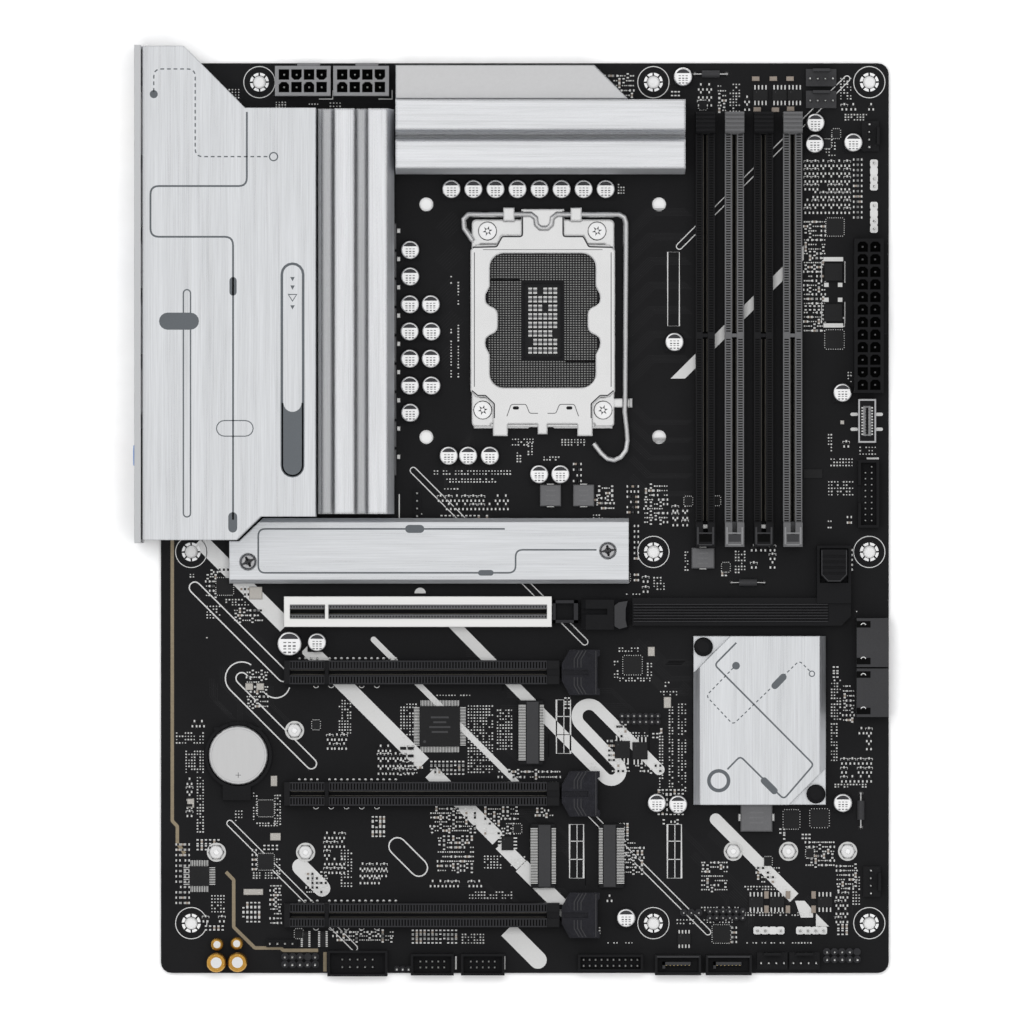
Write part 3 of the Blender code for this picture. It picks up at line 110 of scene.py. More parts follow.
class Nodes:
    """A material's nodes, joined by short calls."""

    def __init__(self, name, roughness, metallic, specular):
        self.material = bpy.data.materials.new(name)
        self.material.use_nodes = True
        self.tree = self.material.node_tree
        self.shader = self.tree.nodes["Principled BSDF"]
        self.shader.inputs["Roughness"].default_value = roughness
        self.shader.inputs["Metallic"].default_value = metallic
        self.shader.inputs["Specular IOR Level"].default_value = specular

    def add(self, kind, **values):
        node = self.tree.nodes.new(kind)
        for key, value in values.items():
            setattr(node, key, value)
        return node

    def link(self, source, target):
        self.tree.links.new(source, target)

    def noise(self, stretch, detail=3.0, roughness=0.55):
        """Noise over the piece's own coordinates, with this many cells to a metre each way."""
        coords = self.add("ShaderNodeTexCoord")
        mapping = self.add("ShaderNodeMapping")
        mapping.inputs["Scale"].default_value = stretch
        noise = self.add("ShaderNodeTexNoise")
        noise.inputs["Scale"].default_value = 1.0
        noise.inputs["Detail"].default_value = detail
        noise.inputs["Roughness"].default_value = roughness
        self.link(coords.outputs["Object"], mapping.inputs["Vector"])
        self.link(mapping.outputs["Vector"], noise.inputs["Vector"])
        return noise.outputs["Fac"]

    def span(self, value, low, high, start=0.3, end=0.7):
        """A noise value, spread from its usual range to low..high."""
        spread = self.add("ShaderNodeMapRange")
        spread.inputs["From Min"].default_value = start
        spread.inputs["From Max"].default_value = end
        spread.inputs["To Min"].default_value = low
        spread.inputs["To Max"].default_value = high
        self.link(value, spread.inputs["Value"])
        return spread.outputs["Result"]

    def mix(self, factor, dark, light):
        """A colour between two others."""
        blend = self.add("ShaderNodeMix", data_type="RGBA")
        blend.inputs["A"].default_value = (*dark, 1.0)
        blend.inputs["B"].default_value = (*light, 1.0)
        self.link(factor, blend.inputs["Factor"])
        return blend.outputs["Result"]

    def sum(self, first, second, share):
        """The first value plus a share of the second."""
        scale = self.add("ShaderNodeMath", operation="MULTIPLY_ADD")
        scale.inputs[1].default_value = share
        self.link(second, scale.inputs[0])
        self.link(first, scale.inputs[2])
        return scale.outputs["Value"]

    def bump(self, height, depth):
        """Relief of this depth in metres."""
        relief = self.add("ShaderNodeBump")
        relief.inputs["Strength"].default_value = 1.0
        relief.inputs["Distance"].default_value = depth
        self.link(height, relief.inputs["Height"])
        self.link(relief.outputs["Normal"], self.shader.inputs["Normal"])
        return relief


def shade(colour, factor):
    """A colour made lighter or darker by a factor."""
    return tuple(min(1.0, channel * factor) for channel in colour)


def grained(name):
    """A moulded, printed or plated finish with fine grain and patchy gloss."""
    colour, roughness, metallic, specular, grain, swing, rough_swing, height = FINISHES[name]
    nodes = Nodes(name, roughness, metallic, specular)
    cells = 1000.0 / grain
    fine = nodes.noise((cells,) * 3, detail=4.0)
    patches = nodes.noise((60.0,) * 3, detail=3.0)
    both = nodes.sum(fine, patches, 0.6)
    tint = nodes.span(both, 0.0, 1.0, 0.5, 1.1)
    nodes.link(nodes.mix(tint, shade(colour, 1 - swing), shade(colour, 1 + swing)),
               nodes.shader.inputs["Base Color"])
    rough = nodes.span(both, roughness - rough_swing / 2, roughness + rough_swing / 2, 0.5, 1.1)
    nodes.link(rough, nodes.shader.inputs["Roughness"])
    nodes.bump(fine, height * MM)
    return nodes.material


# Brushed and rolled metals: colour, roughness, brush direction, swing of colour and of gloss.
METALS = {
    "brushed_along_y": ((0.75, 0.765, 0.785), 0.32, (2300.0, 40.0, 2300.0), 0.19, 0.20),
    "brushed_along_x": ((0.75, 0.765, 0.785), 0.32, (40.0, 2300.0, 2300.0), 0.19, 0.20),
    "finned_along_y": ((0.80, 0.81, 0.83), 0.26, (2300.0, 40.0, 2300.0), 0.16, 0.18),
    "finned_along_x": ((0.80, 0.81, 0.83), 0.26, (40.0, 2300.0, 2300.0), 0.16, 0.18),
    "matte_aluminium": ((0.70, 0.70, 0.705), 0.42, (900.0, 900.0, 900.0), 0.04, 0.08),
    "nickel_plate": ((0.80, 0.80, 0.80), 0.17, (120.0, 110.0, 120.0), 0.04, 0.08),
    "steel": ((0.52, 0.52, 0.53), 0.34, (300.0, 60.0, 300.0), 0.10, 0.14),
    "cell_steel": ((0.66, 0.66, 0.66), 0.36, (500.0, 60.0, 500.0), 0.05, 0.10),
    "armor_steel": ((0.90, 0.895, 0.88), 0.30, (20.0, 900.0, 900.0), 0.03, 0.08),
    "satin_aluminium": ((0.70, 0.71, 0.72), 0.50, (700.0, 700.0, 700.0), 0.03, 0.06),
}


# Edge softening in mm, for metals whose edges are rounder than 0.35 mm.
EDGE_RADIUS = {"brushed_along_y": 0.5, "brushed_along_x": 0.5, "finned_along_y": 1.3, "finned_along_x": 1.3,
               "nickel_plate": 1.0}


def brushed(name):
    """Metal with streaks along its brushing, handling marks and a little relief; finned metal also gets
    painted shade on its lower upward faces.
    """
    colour, roughness, stretch, swing, rough_swing = METALS[name]
    nodes = Nodes(name, roughness, 1.0, 0.5)
    streaks = nodes.noise(stretch, detail=5.0, roughness=0.65)
    broad = nodes.noise(tuple(s * 0.18 for s in stretch), detail=3.0)
    both = nodes.sum(streaks, broad, 0.7)
    tint = nodes.span(both, 0.0, 1.0, 0.55, 1.15)
    tone = nodes.mix(tint, shade(colour, 1 - swing), shade(colour, 1 + swing))
    facing = nodes.add("ShaderNodeSeparateXYZ")
    coords = nodes.add("ShaderNodeTexCoord")
    nodes.link(coords.outputs["Normal"], facing.inputs["Vector"])
    # Finned metal: upward faces are painted darker the lower they sit, up to 36 % darker at 30 mm and not at
    # all from 33.6 mm up, as painted shade in the lower steps and grooves between the ridges.
    if name.startswith("finned"):
        split = nodes.add("ShaderNodeSeparateXYZ")
        nodes.link(coords.outputs["Object"], split.inputs["Vector"])
        upward = nodes.span(facing.outputs["Z"], 0.0, 1.0, 0.4, 0.7)
        depth = nodes.add("ShaderNodeMath", operation="MULTIPLY")
        nodes.link(nodes.span(split.outputs["Z"], -0.36, 0.0, 0.0300, 0.0336), depth.inputs[0])
        nodes.link(upward, depth.inputs[1])
        height = nodes.add("ShaderNodeMath", operation="ADD")
        height.inputs[1].default_value = 1.0
        nodes.link(depth.outputs["Value"], height.inputs[0])
        height = height.outputs["Value"]
        painted_groove_shade = nodes.add("ShaderNodeVectorMath", operation="SCALE")
        nodes.link(tone, painted_groove_shade.inputs[0])
        nodes.link(height, painted_groove_shade.inputs["Scale"])
        tone = painted_groove_shade.outputs["Vector"]
    nodes.link(tone, nodes.shader.inputs["Base Color"])
    rough = nodes.span(both, roughness - rough_swing / 2, roughness + rough_swing / 2, 0.55, 1.15)
    if name.startswith(("finned", "brushed")):
        rough = nodes.sum(rough, nodes.span(facing.outputs["Z"], 0.45, 0.0, 0.5, 0.9), 1.0)
    nodes.link(rough, nodes.shader.inputs["Roughness"])
    relief = nodes.bump(streaks, 0.004 * MM)
    edge = nodes.add("ShaderNodeBevel", samples=4)
    edge.inputs["Radius"].default_value = EDGE_RADIUS.get(name, 0.35) * MM
    nodes.link(edge.outputs["Normal"], relief.inputs["Normal"])
    return nodes.material


def board_laminate():
    """Matte black solder mask with a woven relief, faint routing and slight clouding."""
    colour = (0.0068, 0.0068, 0.0074)
    nodes = Nodes("board_laminate", 0.45, 0.0, 0.12)
    clouds = nodes.noise((45.0,) * 3, detail=4.0)
    fine = nodes.noise((1600.0,) * 3, detail=3.0)
    both = nodes.sum(clouds, fine, 0.5)
    tint = nodes.span(both, 0.0, 1.0, 0.45, 1.05)
    nodes.link(nodes.mix(tint, shade(colour, 0.75), shade(colour, 1.3)),
               nodes.shader.inputs["Base Color"])
    nodes.link(nodes.span(both, 0.40, 0.52, 0.45, 1.05), nodes.shader.inputs["Roughness"])
    coords = nodes.add("ShaderNodeTexCoord")
    weave = nodes.add("ShaderNodeTexWave", wave_type="BANDS", bands_direction="DIAGONAL")
    weave.inputs["Scale"].default_value = 900.0
    weave.inputs["Distortion"].default_value = 1.5
    nodes.link(coords.outputs["Object"], weave.inputs["Vector"])
    nodes.bump(nodes.sum(fine, weave.outputs["Fac"], 0.3), 0.004 * MM)
    return nodes.material


def floor_paper():
    """Plain pale paper."""
    nodes = Nodes("floor_paper", 0.85, 0.0, 0.1)
    fibres = nodes.noise((120.0,) * 3, detail=5.0)
    nodes.link(nodes.mix(nodes.span(fibres, 0.0, 1.0), (0.93, 0.93, 0.93), (0.96, 0.96, 0.96)),
               nodes.shader.inputs["Base Color"])
    nodes.bump(fibres, 0.02 * MM)
    return nodes.material


made_finishes = {}


def finish(name):
    """The material of a finish, made once."""
    if name not in made_finishes:
        if name in FINISHES:
            made_finishes[name] = grained(name)
        elif name in METALS:
            made_finishes[name] = brushed(name)
        else:
            made_finishes[name] = {"board_laminate": board_laminate, "floor_paper": floor_paper}[name]()
    return made_finishes[name]


# ---------------------------------------------------------------- outlines


def arc(x, y, radius, start, end, steps=12):
    """Points along an arc, with its angles in degrees."""
    angles = [math.radians(start + (end - start) * i / steps) for i in range(steps + 1)]
    return [(x + radius * math.cos(a), y + radius * math.sin(a)) for a in angles]


def circle(x, y, radius, sides=24):
    """Points round a full circle."""
    return arc(x, y, radius, 0, 360, sides)[:-1]


def pill(x0, y0, x1, y1, radius, steps=8):
    """The outline of a bar with round ends between two points."""
    turn = math.degrees(math.atan2(y1 - y0, x1 - x0))
    return arc(x1, y1, radius, turn - 90, turn + 90, steps) + arc(x0, y0, radius, turn + 90, turn + 270,
                                                                  steps)


def rounded(points, radius, steps=5):
    """An open path with each inner corner turned into an arc."""
    path = [points[0]]
    for before, corner, after in zip(points, points[1:], points[2:]):
        a, c, b = Vector(before), Vector(corner), Vector(after)
        to_a, to_b = (a - c).normalized(), (b - c).normalized()
        half = math.acos(max(-1.0, min(1.0, to_a.dot(to_b)))) / 2
        reach = min(radius / math.tan(half), (a - c).length * 0.49, (b - c).length * 0.49)
        start, end = c + to_a * reach, c + to_b * reach
        for step in range(steps + 1):
            t = step / steps
            point = start * (1 - t) ** 2 + c * (2 * t * (1 - t)) + end * t ** 2
            path.append((point.x, point.y))
    path.append(points[-1])
    return path


def dashes(path, length, gap):
    """A path cut into dashes."""
    pieces = []
    current = [path[0]]
    left = length
    drawing = True
    for start, end in zip(path, path[1:]):
        a, b = Vector(start), Vector(end)
        run = (b - a).length
        done = 0.0
        while run - done > left:
            done += left
            point = a.lerp(b, done / run)
            if drawing:
                current.append((point.x, point.y))
                pieces.append(current)
            current = [(point.x, point.y)]
            drawing = not drawing
            left = length if drawing else gap
        left -= run - done
        if drawing:
            current.append((b.x, b.y))
    if drawing and len(current) > 1:
        pieces.append(current)
    return pieces


# ---------------------------------------------------------------- pieces


class Piece:
    """One piece of the visual model, collected as closed shells in board millimetres."""

    def __init__(self, name, body="board", slot=None):
        self.name = name
        self.body = body
        self.slot = slot
        self.points = []
        self.faces = []
        self.finishes = []
        self.face_finish = []
        self.face_smooth = []

    def shell(self, points, faces, look, smooth=False):
        if look not in self.finishes:
            self.finishes.append(look)
        first = len(self.points)
        self.points += points
        self.faces += [tuple(first + i for i in face) for face in faces]
        self.face_finish += [self.finishes.index(look)] * len(faces)
        self.face_smooth += [smooth] * len(faces)

    def box(self, x0, x1, y0, y1, z0, z1, look):
        points = [(x, y, z) for z in (z0, z1) for x, y in ((x0, y0), (x1, y0), (x1, y1), (x0, y1))]
        faces = [(3, 2, 1, 0), (4, 5, 6, 7), (0, 1, 5, 4), (1, 2, 6, 5), (2, 3, 7, 6), (3, 0, 4, 7)]
        self.shell(points, faces, look)

    def block(self, x, y, width, length, z0, z1, look, soften=0.0):
        """A box about a centre, with its top edges sloped in by a little."""
        w, h = width / 2, length / 2
        if not soften:
            self.box(x - w, x + w, y - h, y + h, z0, z1, look)
            return
        rings = []
        for inset, z in ((0, z0), (0, z1 - soften), (soften, z1)):
            rings.append([(x + sx * (w - inset), y + sy * (h - inset), z)
                          for sx, sy in ((-1, -1), (1, -1), (1, 1), (-1, 1))])
        self.rings(rings, look)

    def rings(self, rings, look, smooth=False, closed=True):
        """A closed shell through rings of equal counts, from the lowest to the highest."""
        count = len(rings[0])
        points = [point for ring in rings for point in ring]
        faces = []
        for level in range(len(rings) - 1):
            base = level * count
            for i in range(count):
                j = (i + 1) % count
                faces.append((base + i, base + j, base + count + j, base + count + i))
        if closed:
            faces.append(tuple(range(count - 1, -1, -1)))
            last = (len(rings) - 1) * count
            faces.append(tuple(range(last, last + count)))
        self.shell(points, faces, look, smooth)

    def slab(self, outline, z0, z1, look):
        """An upright prism of an outline that runs anticlockwise."""
        self.rings([[(x, y, z) for x, y in outline] for z in (z0, z1)], look)

    def lathe(self, x, y, profile, look, sides=24, start=0.0):
        """A round piece from (radius, height) points, lowest first."""
        rings = []
        for radius, z in profile:
            rings.append([(px, py, z) for px, py in arc(x, y, radius, start, start + 360, sides)[:-1]])
        self.rings(rings, look, smooth=True)

    def ribbon(self, path, width, z0, z1, look, cyclic=False):
        """A flat line of one width along a path."""
        count = len(path)
        half = width / 2
        left, right = [], []
        for i, (x, y) in enumerate(path):
            if cyclic:
                a, b = path[i - 1], path[(i + 1) % count]
            else:
                a, b = path[max(i - 1, 0)], path[min(i + 1, count - 1)]
            direction = Vector((b[0] - a[0], b[1] - a[1])).normalized()
            normal = Vector((-direction.y, direction.x)) * half
            if 0 < i < count - 1 or cyclic:
                before = Vector((x - a[0], y - a[1])).normalized()
                normal /= max(0.5, abs(before.dot(direction)))
            left.append((x + normal.x, y + normal.y))
            right.append((x - normal.x, y - normal.y))
        points = []
        for (lx, ly), (rx, ry) in zip(left, right):
            points += [(lx, ly, z1), (rx, ry, z1), (rx, ry, z0), (lx, ly, z0)]
        faces = []
        last = count if cyclic else count - 1
        for i in range(last):
            a, b = 4 * i, 4 * ((i + 1) % count)
            faces += [(a + k, b + k, b + (k + 1) % 4, a + (k + 1) % 4) for k in range(4)]
        if not cyclic:
            end = 4 * (count - 1)
            faces += [(0, 1, 2, 3), (end + 3, end + 2, end + 1, end)]
        self.shell(points, faces, look)

    def build(self):
        mesh = bpy.data.meshes.new(self.name)
        mesh.from_pydata([place(*point) for point in self.points], [], self.faces)
        for look in self.finishes:
            mesh.materials.append(finish(look))
        mesh.polygons.foreach_set("material_index", self.face_finish)
        mesh.polygons.foreach_set("use_smooth", self.face_smooth)
        mesh.update()
        obj = bpy.data.objects.new(self.name, mesh)
        bpy.context.scene.collection.objects.link(obj)
        if any(self.face_smooth):
            mesh.set_sharp_from_angle(angle=math.radians(40))
        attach(obj, self.body)
        return obj


# ---------------------------------------------------------------- stage, camera and light

VIEW_WIDTH = 343.3
CAMERA_HEIGHT = 6.0
SENSOR = 36.0
CAMERA_SHIFT = (-0.0003, -0.0002)
FLOOR_HALF_WIDTH = 14.0
FLOOR_DROP = 0.0002
# height in the sky, from 0 at the bottom to 1 overhead, and its brightness there
SKY_TONES = ((0.14, 0.34), (0.50, 0.26), (0.80, 0.62))
# name, place, size, power, whether metal mirrors it
LAMPS = (("softbox", (0.0, 0.05, 2.5), 0.8, 44.0, False), ("key", (-1.3, 1.4, 1.5), 2.2, 8.0, True))


def make_stage():
    """A plain pale floor."""
    mesh = bpy.data.meshes.new("floor")
    half = FLOOR_HALF_WIDTH
    mesh.from_pydata([(-half, -half, 0), (half, -half, 0), (half, half, 0), (-half, half, 0)], [],
                     [(0, 1, 2, 3)])
    floor = bpy.data.objects.new("floor", mesh)
    floor.location.z = -FLOOR_DROP
    mesh.materials.append(finish("floor_paper"))
    bpy.context.scene.collection.objects.link(floor)


def make_camera():
    """A camera straight above the board, which sees VIEW_WIDTH at the board's top face."""
    camera = bpy.data.cameras.new("camera")
    camera.sensor_width = SENSOR
    distance = CAMERA_HEIGHT - TOP * MM
    camera.lens = SENSOR * distance / (VIEW_WIDTH * MM)
    camera.clip_start = 0.1
    camera.clip_end = 100.0
    holder = bpy.data.objects.new("camera", camera)
    holder.location = (*CAMERA_SHIFT, CAMERA_HEIGHT)
    bpy.context.scene.collection.objects.link(holder)
    bpy.context.scene.camera = holder


def make_light():
    """Soft studio light: a graded sky, a soft box overhead and a key light."""
    world = bpy.data.worlds.new("studio")
    world.use_nodes = True
    tree = world.node_tree
    background = tree.nodes["Background"]
    coords = tree.nodes.new("ShaderNodeTexCoord")
    split = tree.nodes.new("ShaderNodeSeparateXYZ")
    ramp = tree.nodes.new("ShaderNodeValToRGB")
    ramp.color_ramp.elements[0].position = 0.04
    ramp.color_ramp.elements[0].color = (0.70, 0.70, 0.71, 1.0)
    ramp.color_ramp.elements[1].position = 0.93
    ramp.color_ramp.elements[1].color = (0.92, 0.92, 0.92, 1.0)
    for level, tone in SKY_TONES:
        ramp.color_ramp.elements.new(level).color = (tone, tone, tone * 1.02, 1.0)
    tree.links.new(coords.outputs["Generated"], split.inputs["Vector"])
    tree.links.new(split.outputs["Z"], ramp.inputs["Fac"])
    tree.links.new(ramp.outputs["Color"], background.inputs["Color"])
    background.inputs["Strength"].default_value = 1.0
    bpy.context.scene.world = world
    for name, location, size, power, mirrored in LAMPS:
        lamp = bpy.data.lights.new(name, "AREA")
        lamp.size = size
        lamp.energy = power
        lamp.color = (1.0, 1.0, 1.0)
        holder = bpy.data.objects.new(name, lamp)
        holder.location = location
        holder.rotation_mode = "QUATERNION"
        holder.rotation_quaternion = (-Vector(location)).to_track_quat("-Z", "Y")
        holder.visible_camera = False
        holder.visible_glossy = mirrored
        bpy.context.scene.collection.objects.link(holder)
    bpy.context.scene.view_settings.view_transform = "Standard"


# ---------------------------------------------------------------- finishes of the CAD nodes


def dress_nodes():
    """Gives each CAD node the finish listed under the longest matching start of its name."""
    looks = {
        "pcb": "board_laminate",
        "io_cover": "brushed_along_y",
        "vrm_heatsink_left": "finned_along_y",
        "vrm_heatsink_top": "finned_along_x",
        "m2_heatsink": "brushed_along_x",
        "chipset_heatsink": "brushed_along_y",
        "cpu_socket": "pin_bed",
        "io_shield": "satin_aluminium",
        "battery": "cell_steel",
        "pcie_slot_1_armor": "armor_steel",
        "atx_power_connector": "plastic_black",
        "eps_power_connector": "plastic_pale",
        "ilm_screw": "nickel_plate",
        "m2_heatsink_screw": "steel",
        "ilm_frame": "nickel_plate",
        "load": "nickel_plate",
        "wifi": "nickel_plate",
        "socket_backplate": "steel",
        "usb_c_header": "steel",
        "usb3_header": "plastic_black",
        "usb_tower": "steel",
        "lan_usb_tower": "steel",
        "display_ports": "steel",
        "audio_jacks": "plastic_black",
        "release": "plastic_black",
        "push_pin": "plastic_black",
        "battery_holder": "plastic_black",
        "pcie_latch_1": "plastic_black",
        "pcie_latch": "latch_smoke",
        "pcie_slot": "plastic_black",
        "sata_stack": "plastic_slate",
        "sata_port": "plastic_dark",
        "m2_socket": "plastic_black",
        "dimm_slot_1": "plastic_black",
        "dimm_slot_3": "plastic_black",
        "dimm_latch_1": "plastic_black",
        "dimm_latch_3": "plastic_black",
        "dimm": "plastic_grey",
    }
    for name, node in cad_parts.items():
        key = max((k for k in looks if name.startswith(k)), key=len)
        material = finish(looks[key])
        if node.data.materials:
            for index in range(len(node.data.materials)):
                node.data.materials[index] = material
        else:
            node.data.materials.append(material)


# ---------------------------------------------------------------- board print and routing

SILK_LOW = TOP - 0.02
SILK_TOP = TOP + 0.04
LINE = 0.42
HOLE_COLUMNS = (10.16, 165.1, 237.49)
MOUNT_HOLES = [(x, y) for x in HOLE_COLUMNS for y in (16.71, 141.17)]
MOUNT_HOLES += [(x, 298.65) for x in (33.02, 165.1, 237.49)]


def make_hole_pads():
    """Solder petals and a printed ring round each mounting hole."""
    pads = Piece("mount_hole_pads", slot="solder_tin")
    for x, y in MOUNT_HOLES:
        for petal in range(8):
            start = petal * 45 + 8
            inner = arc(x, y, 2.25, start, start + 30, 4)
            outer = arc(x, y, 3.15, start + 34, start - 2, 4)
            pads.slab((inner + outer)[::-1], SILK_LOW, TOP + 0.12, "can_top")
    pads.build()
    rings = Piece("mount_hole_rings", slot="white_ink")
    for x, y in MOUNT_HOLES:
        rings.ribbon(circle(x, y, 5.25, 40), 0.26, SILK_LOW, SILK_TOP, "silk_white", cyclic=True)
    rings.build()


def make_bands():
    """The wide white printed bands that run across the lower half of the board."""
    art = Piece("printed_bands", slot="white_ink")

    def band(points, width, round_ends=False):
        art.ribbon(points, width, SILK_LOW, SILK_TOP, "silk_white")
        if round_ends:
            x, y = points[-1]
            art.slab(circle(x, y, width / 2, 20), SILK_LOW, SILK_TOP + 0.002, "silk_white")

    band([(13.0, 145.1), (41.8, 116.3)], 5.2)
    band([(48.8, 109.3), (88.0, 70.1)], 5.2)
    band([(90.5, 67.4), (113.0, 44.9)], 5.2)
    band([(113.8, 43.2), (120.8, 36.2)], 4.4)
    band([(120.8, 35.9), (136.2, 20.5)], 5.2)
    turn_b = arc(151.0, 67.8, 3.2, 225, 405, 16)
    turn_a = arc(143.5, 86.1, 4.0, 225, 45, 16)
    band([(97.5, 117.6)] + turn_b + turn_a + [(167.0, 68.2)], 3.7, True)
    band([(71.3, 111.8), (119.4, 63.7)], 1.95)
    art.slab(circle(71.3, 111.8, 0.97, 16), SILK_LOW, SILK_TOP + 0.002, "silk_white")
    art.slab(pill(46.8, 35.6, 54.0, 28.4, 2.8), SILK_LOW, SILK_TOP, "silk_white")
    art.slab(circle(186.0, 51.5, 2.0, 20), SILK_LOW, SILK_TOP + 0.002, "silk_white")
    band([(186.0, 51.5), (212.3, 25.2)], 4.0)
    art.slab([(214.5, 18.6), (218.6, 18.6), (218.6, 21.0), (215.8, 24.2), (212.6, 24.2)],
             SILK_LOW, SILK_TOP, "silk_white")
    art.slab([(219.6, 15.6), (224.0, 15.6), (219.6, 20.0)], SILK_LOW, SILK_TOP, "silk_white")
    band([(116.2, 14.6), (126.4, 4.35)], 5.9, True)
    art.slab([(170.9, 199.3), (175.7, 199.3), (215.5, 239.1), (215.5, 243.9)], SILK_LOW, SILK_TOP,
             "silk_white")
    art.slab(arc(86.9, 127.3, 1.9, 0, 180, 10), SILK_LOW, SILK_TOP, "silk_white")
    art.build()


def make_outlines():
    """Thin printed outlines: long pills, tables and part frames."""
    art = Piece("printed_outlines", slot="white_ink")

    def line(path, width=LINE, cyclic=False):
        art.ribbon(path, width, SILK_LOW, SILK_TOP, "silk_white", cyclic)

    def rectangle(x0, x1, y0, y1, width=0.3):
        line([(x0, y0), (x1, y0), (x1, y1), (x0, y1)], width, True)

    line(pill(11.4, 129.2, 41.0, 99.6, 1.9), LINE, True)
    inner = [(30.2, 98.4)] + arc(27.1, 98.8, 1.93, 45, 225, 10)
    outer = arc(50.4, 70.2, 1.77, 45, -135, 10) + arc(27.1, 98.8, 5.5, 225, 55, 14)
    line(inner + outer)
    line(arc(38.5, 97.0, 4.8, 215, 345, 10))
    line(pill(23.1, 50.2, 64.9, 8.4, 1.0), 0.32, True)
    line(pill(79.3, 42.5, 86.5, 35.3, 2.9), LINE, True)
    line(pill(142.2, 54.9, 183.4, 13.7, 0.95), 0.32, True)
    line(pill(84.6, 168.5, 142.1, 111.0, 1.05), 0.32, True)
    line(pill(173.8, 243.6, 230.0, 299.8, 0.98), 0.32, True)
    rectangle(169.9, 173.8, 216.9, 241.7, 0.2)
    for x, y in ((132.6, 73.6), (137.0, 31.8), (169.8, 31.8)):
        rectangle(x, x + 4.7, y, y + 18.0)
        line([(x + 2.5, y), (x + 2.5, y + 18.0)], 0.25)
        for level in (6.3, 12.4):
            line([(x, y + level), (x + 4.7, y + level)], 0.25)
    for x in (53.0, 72.9):
        line([(x, 293.0), (x + 4.6, 293.0), (x + 4.6, 296.0)], 0.3)
    line([(236.6, 172.5), (240.7, 172.5)], 0.6)
    line([(79.9, 151.9), (79.9, 160.5)], 0.35)
    for x in (98.9, 115.2, 149.1):
        line([(x, 1.2), (x, 5.6)], 0.5)
    rectangle(222.2, 229.2, 216.8, 219.6, 0.3)
    art.build()


def make_routing():
    """Faint raised copper runs under the mask, as bundles of lines with 45 degree bends."""
    routes = Piece("board_routing", slot="board_laminate")
    picker = random.Random(11)

    def bundle(points, count, pitch, width=0.16):
        """Lines side by side, shifted across their first direction."""
        first = (Vector(points[1]) - Vector(points[0])).normalized()
        across = Vector((-first.y, first.x))
        for i in range(count):
            shift = across * (i * pitch)
            path = [(x + shift.x, y + shift.y) for x, y in points]
            routes.ribbon(rounded(path, 1.0, 2), width, SILK_LOW, TOP + 0.015, "trace_mask")

    for i in range(7):
        bundle([(157.5, 246.0 - 8.2 * i), (165.5, 254.0 - 8.2 * i), (178.0, 254.0 - 8.2 * i)], 6, 0.62)
    for i in range(6):
        bundle([(157.0, 190.0 - 6.0 * i), (163.0, 184.0 - 6.0 * i), (177.0, 184.0 - 6.0 * i)], 4, 0.62)
    for i in range(5):
        bundle([(104.0, 181.0 - i), (95.0 + 2 * i, 172.0), (95.0 + 2 * i, 160.0),
                (104.0 + 2 * i, 151.0)],
               3, 0.6)
    for i in range(5):
        bundle([(96.0, 246.0 - 11.0 * i), (101.5, 251.5 - 11.0 * i)], 7, 0.9)
    for i in range(16):
        x = picker.uniform(60.0, 150.0)
        y = picker.uniform(16.0, 108.0)
        run = picker.uniform(5.0, 12.0)
        rise = picker.uniform(4.0, 12.0)
        bundle([(x, y), (x + run, y), (x + run + rise, y - rise), (x + run + rise, y - rise - run)],
               picker.randint(3, 6), 0.7)
    for i in range(10):
        x = picker.uniform(165.0, 225.0)
        y = picker.uniform(20.0, 50.0)
        run = picker.uniform(4.0, 10.0)
        bundle([(x, y), (x + run, y - run), (x + run, y - 2 * run)], picker.randint(3, 5), 0.7)
    for i in range(8):
        x = picker.uniform(158.0, 176.0)
        y = picker.uniform(72.0, 112.0)
        bundle([(x, y), (x + 7.0, y - 7.0), (x + 16.0, y - 7.0)], 4, 0.7)
    for i in range(8):
        x = picker.uniform(16.0, 38.0)
        y = picker.uniform(88.0, 128.0)
        bundle([(x, y), (x, y - 6.0), (x + 6.0, y - 12.0)], 3, 0.7)
    routes.build()


def make_guard_lines():
    """The tan exposed-copper line that sets the sound section apart."""
    lines = Piece("guard_lines", slot="tan_ink")
    paths = (
        [(3.8, 146.0), (3.8, 51.0), (5.5, 49.2), (5.5, 43.6), (8.0, 40.0)],
        [(21.8, 33.9), (24.4, 31.2), (24.4, 15.4), (31.5, 8.4), (40.2, 8.4), (41.0, 7.6), (52.7, 7.6)],
        [(55.0, 7.0), (55.0, 0.5)],
    )
    for path in paths:
        lines.ribbon(rounded(path, 0.8), 1.15, SILK_LOW, SILK_TOP, "ink_tan")
    lines.build()


# ---------------------------------------------------------------- line art on the metal


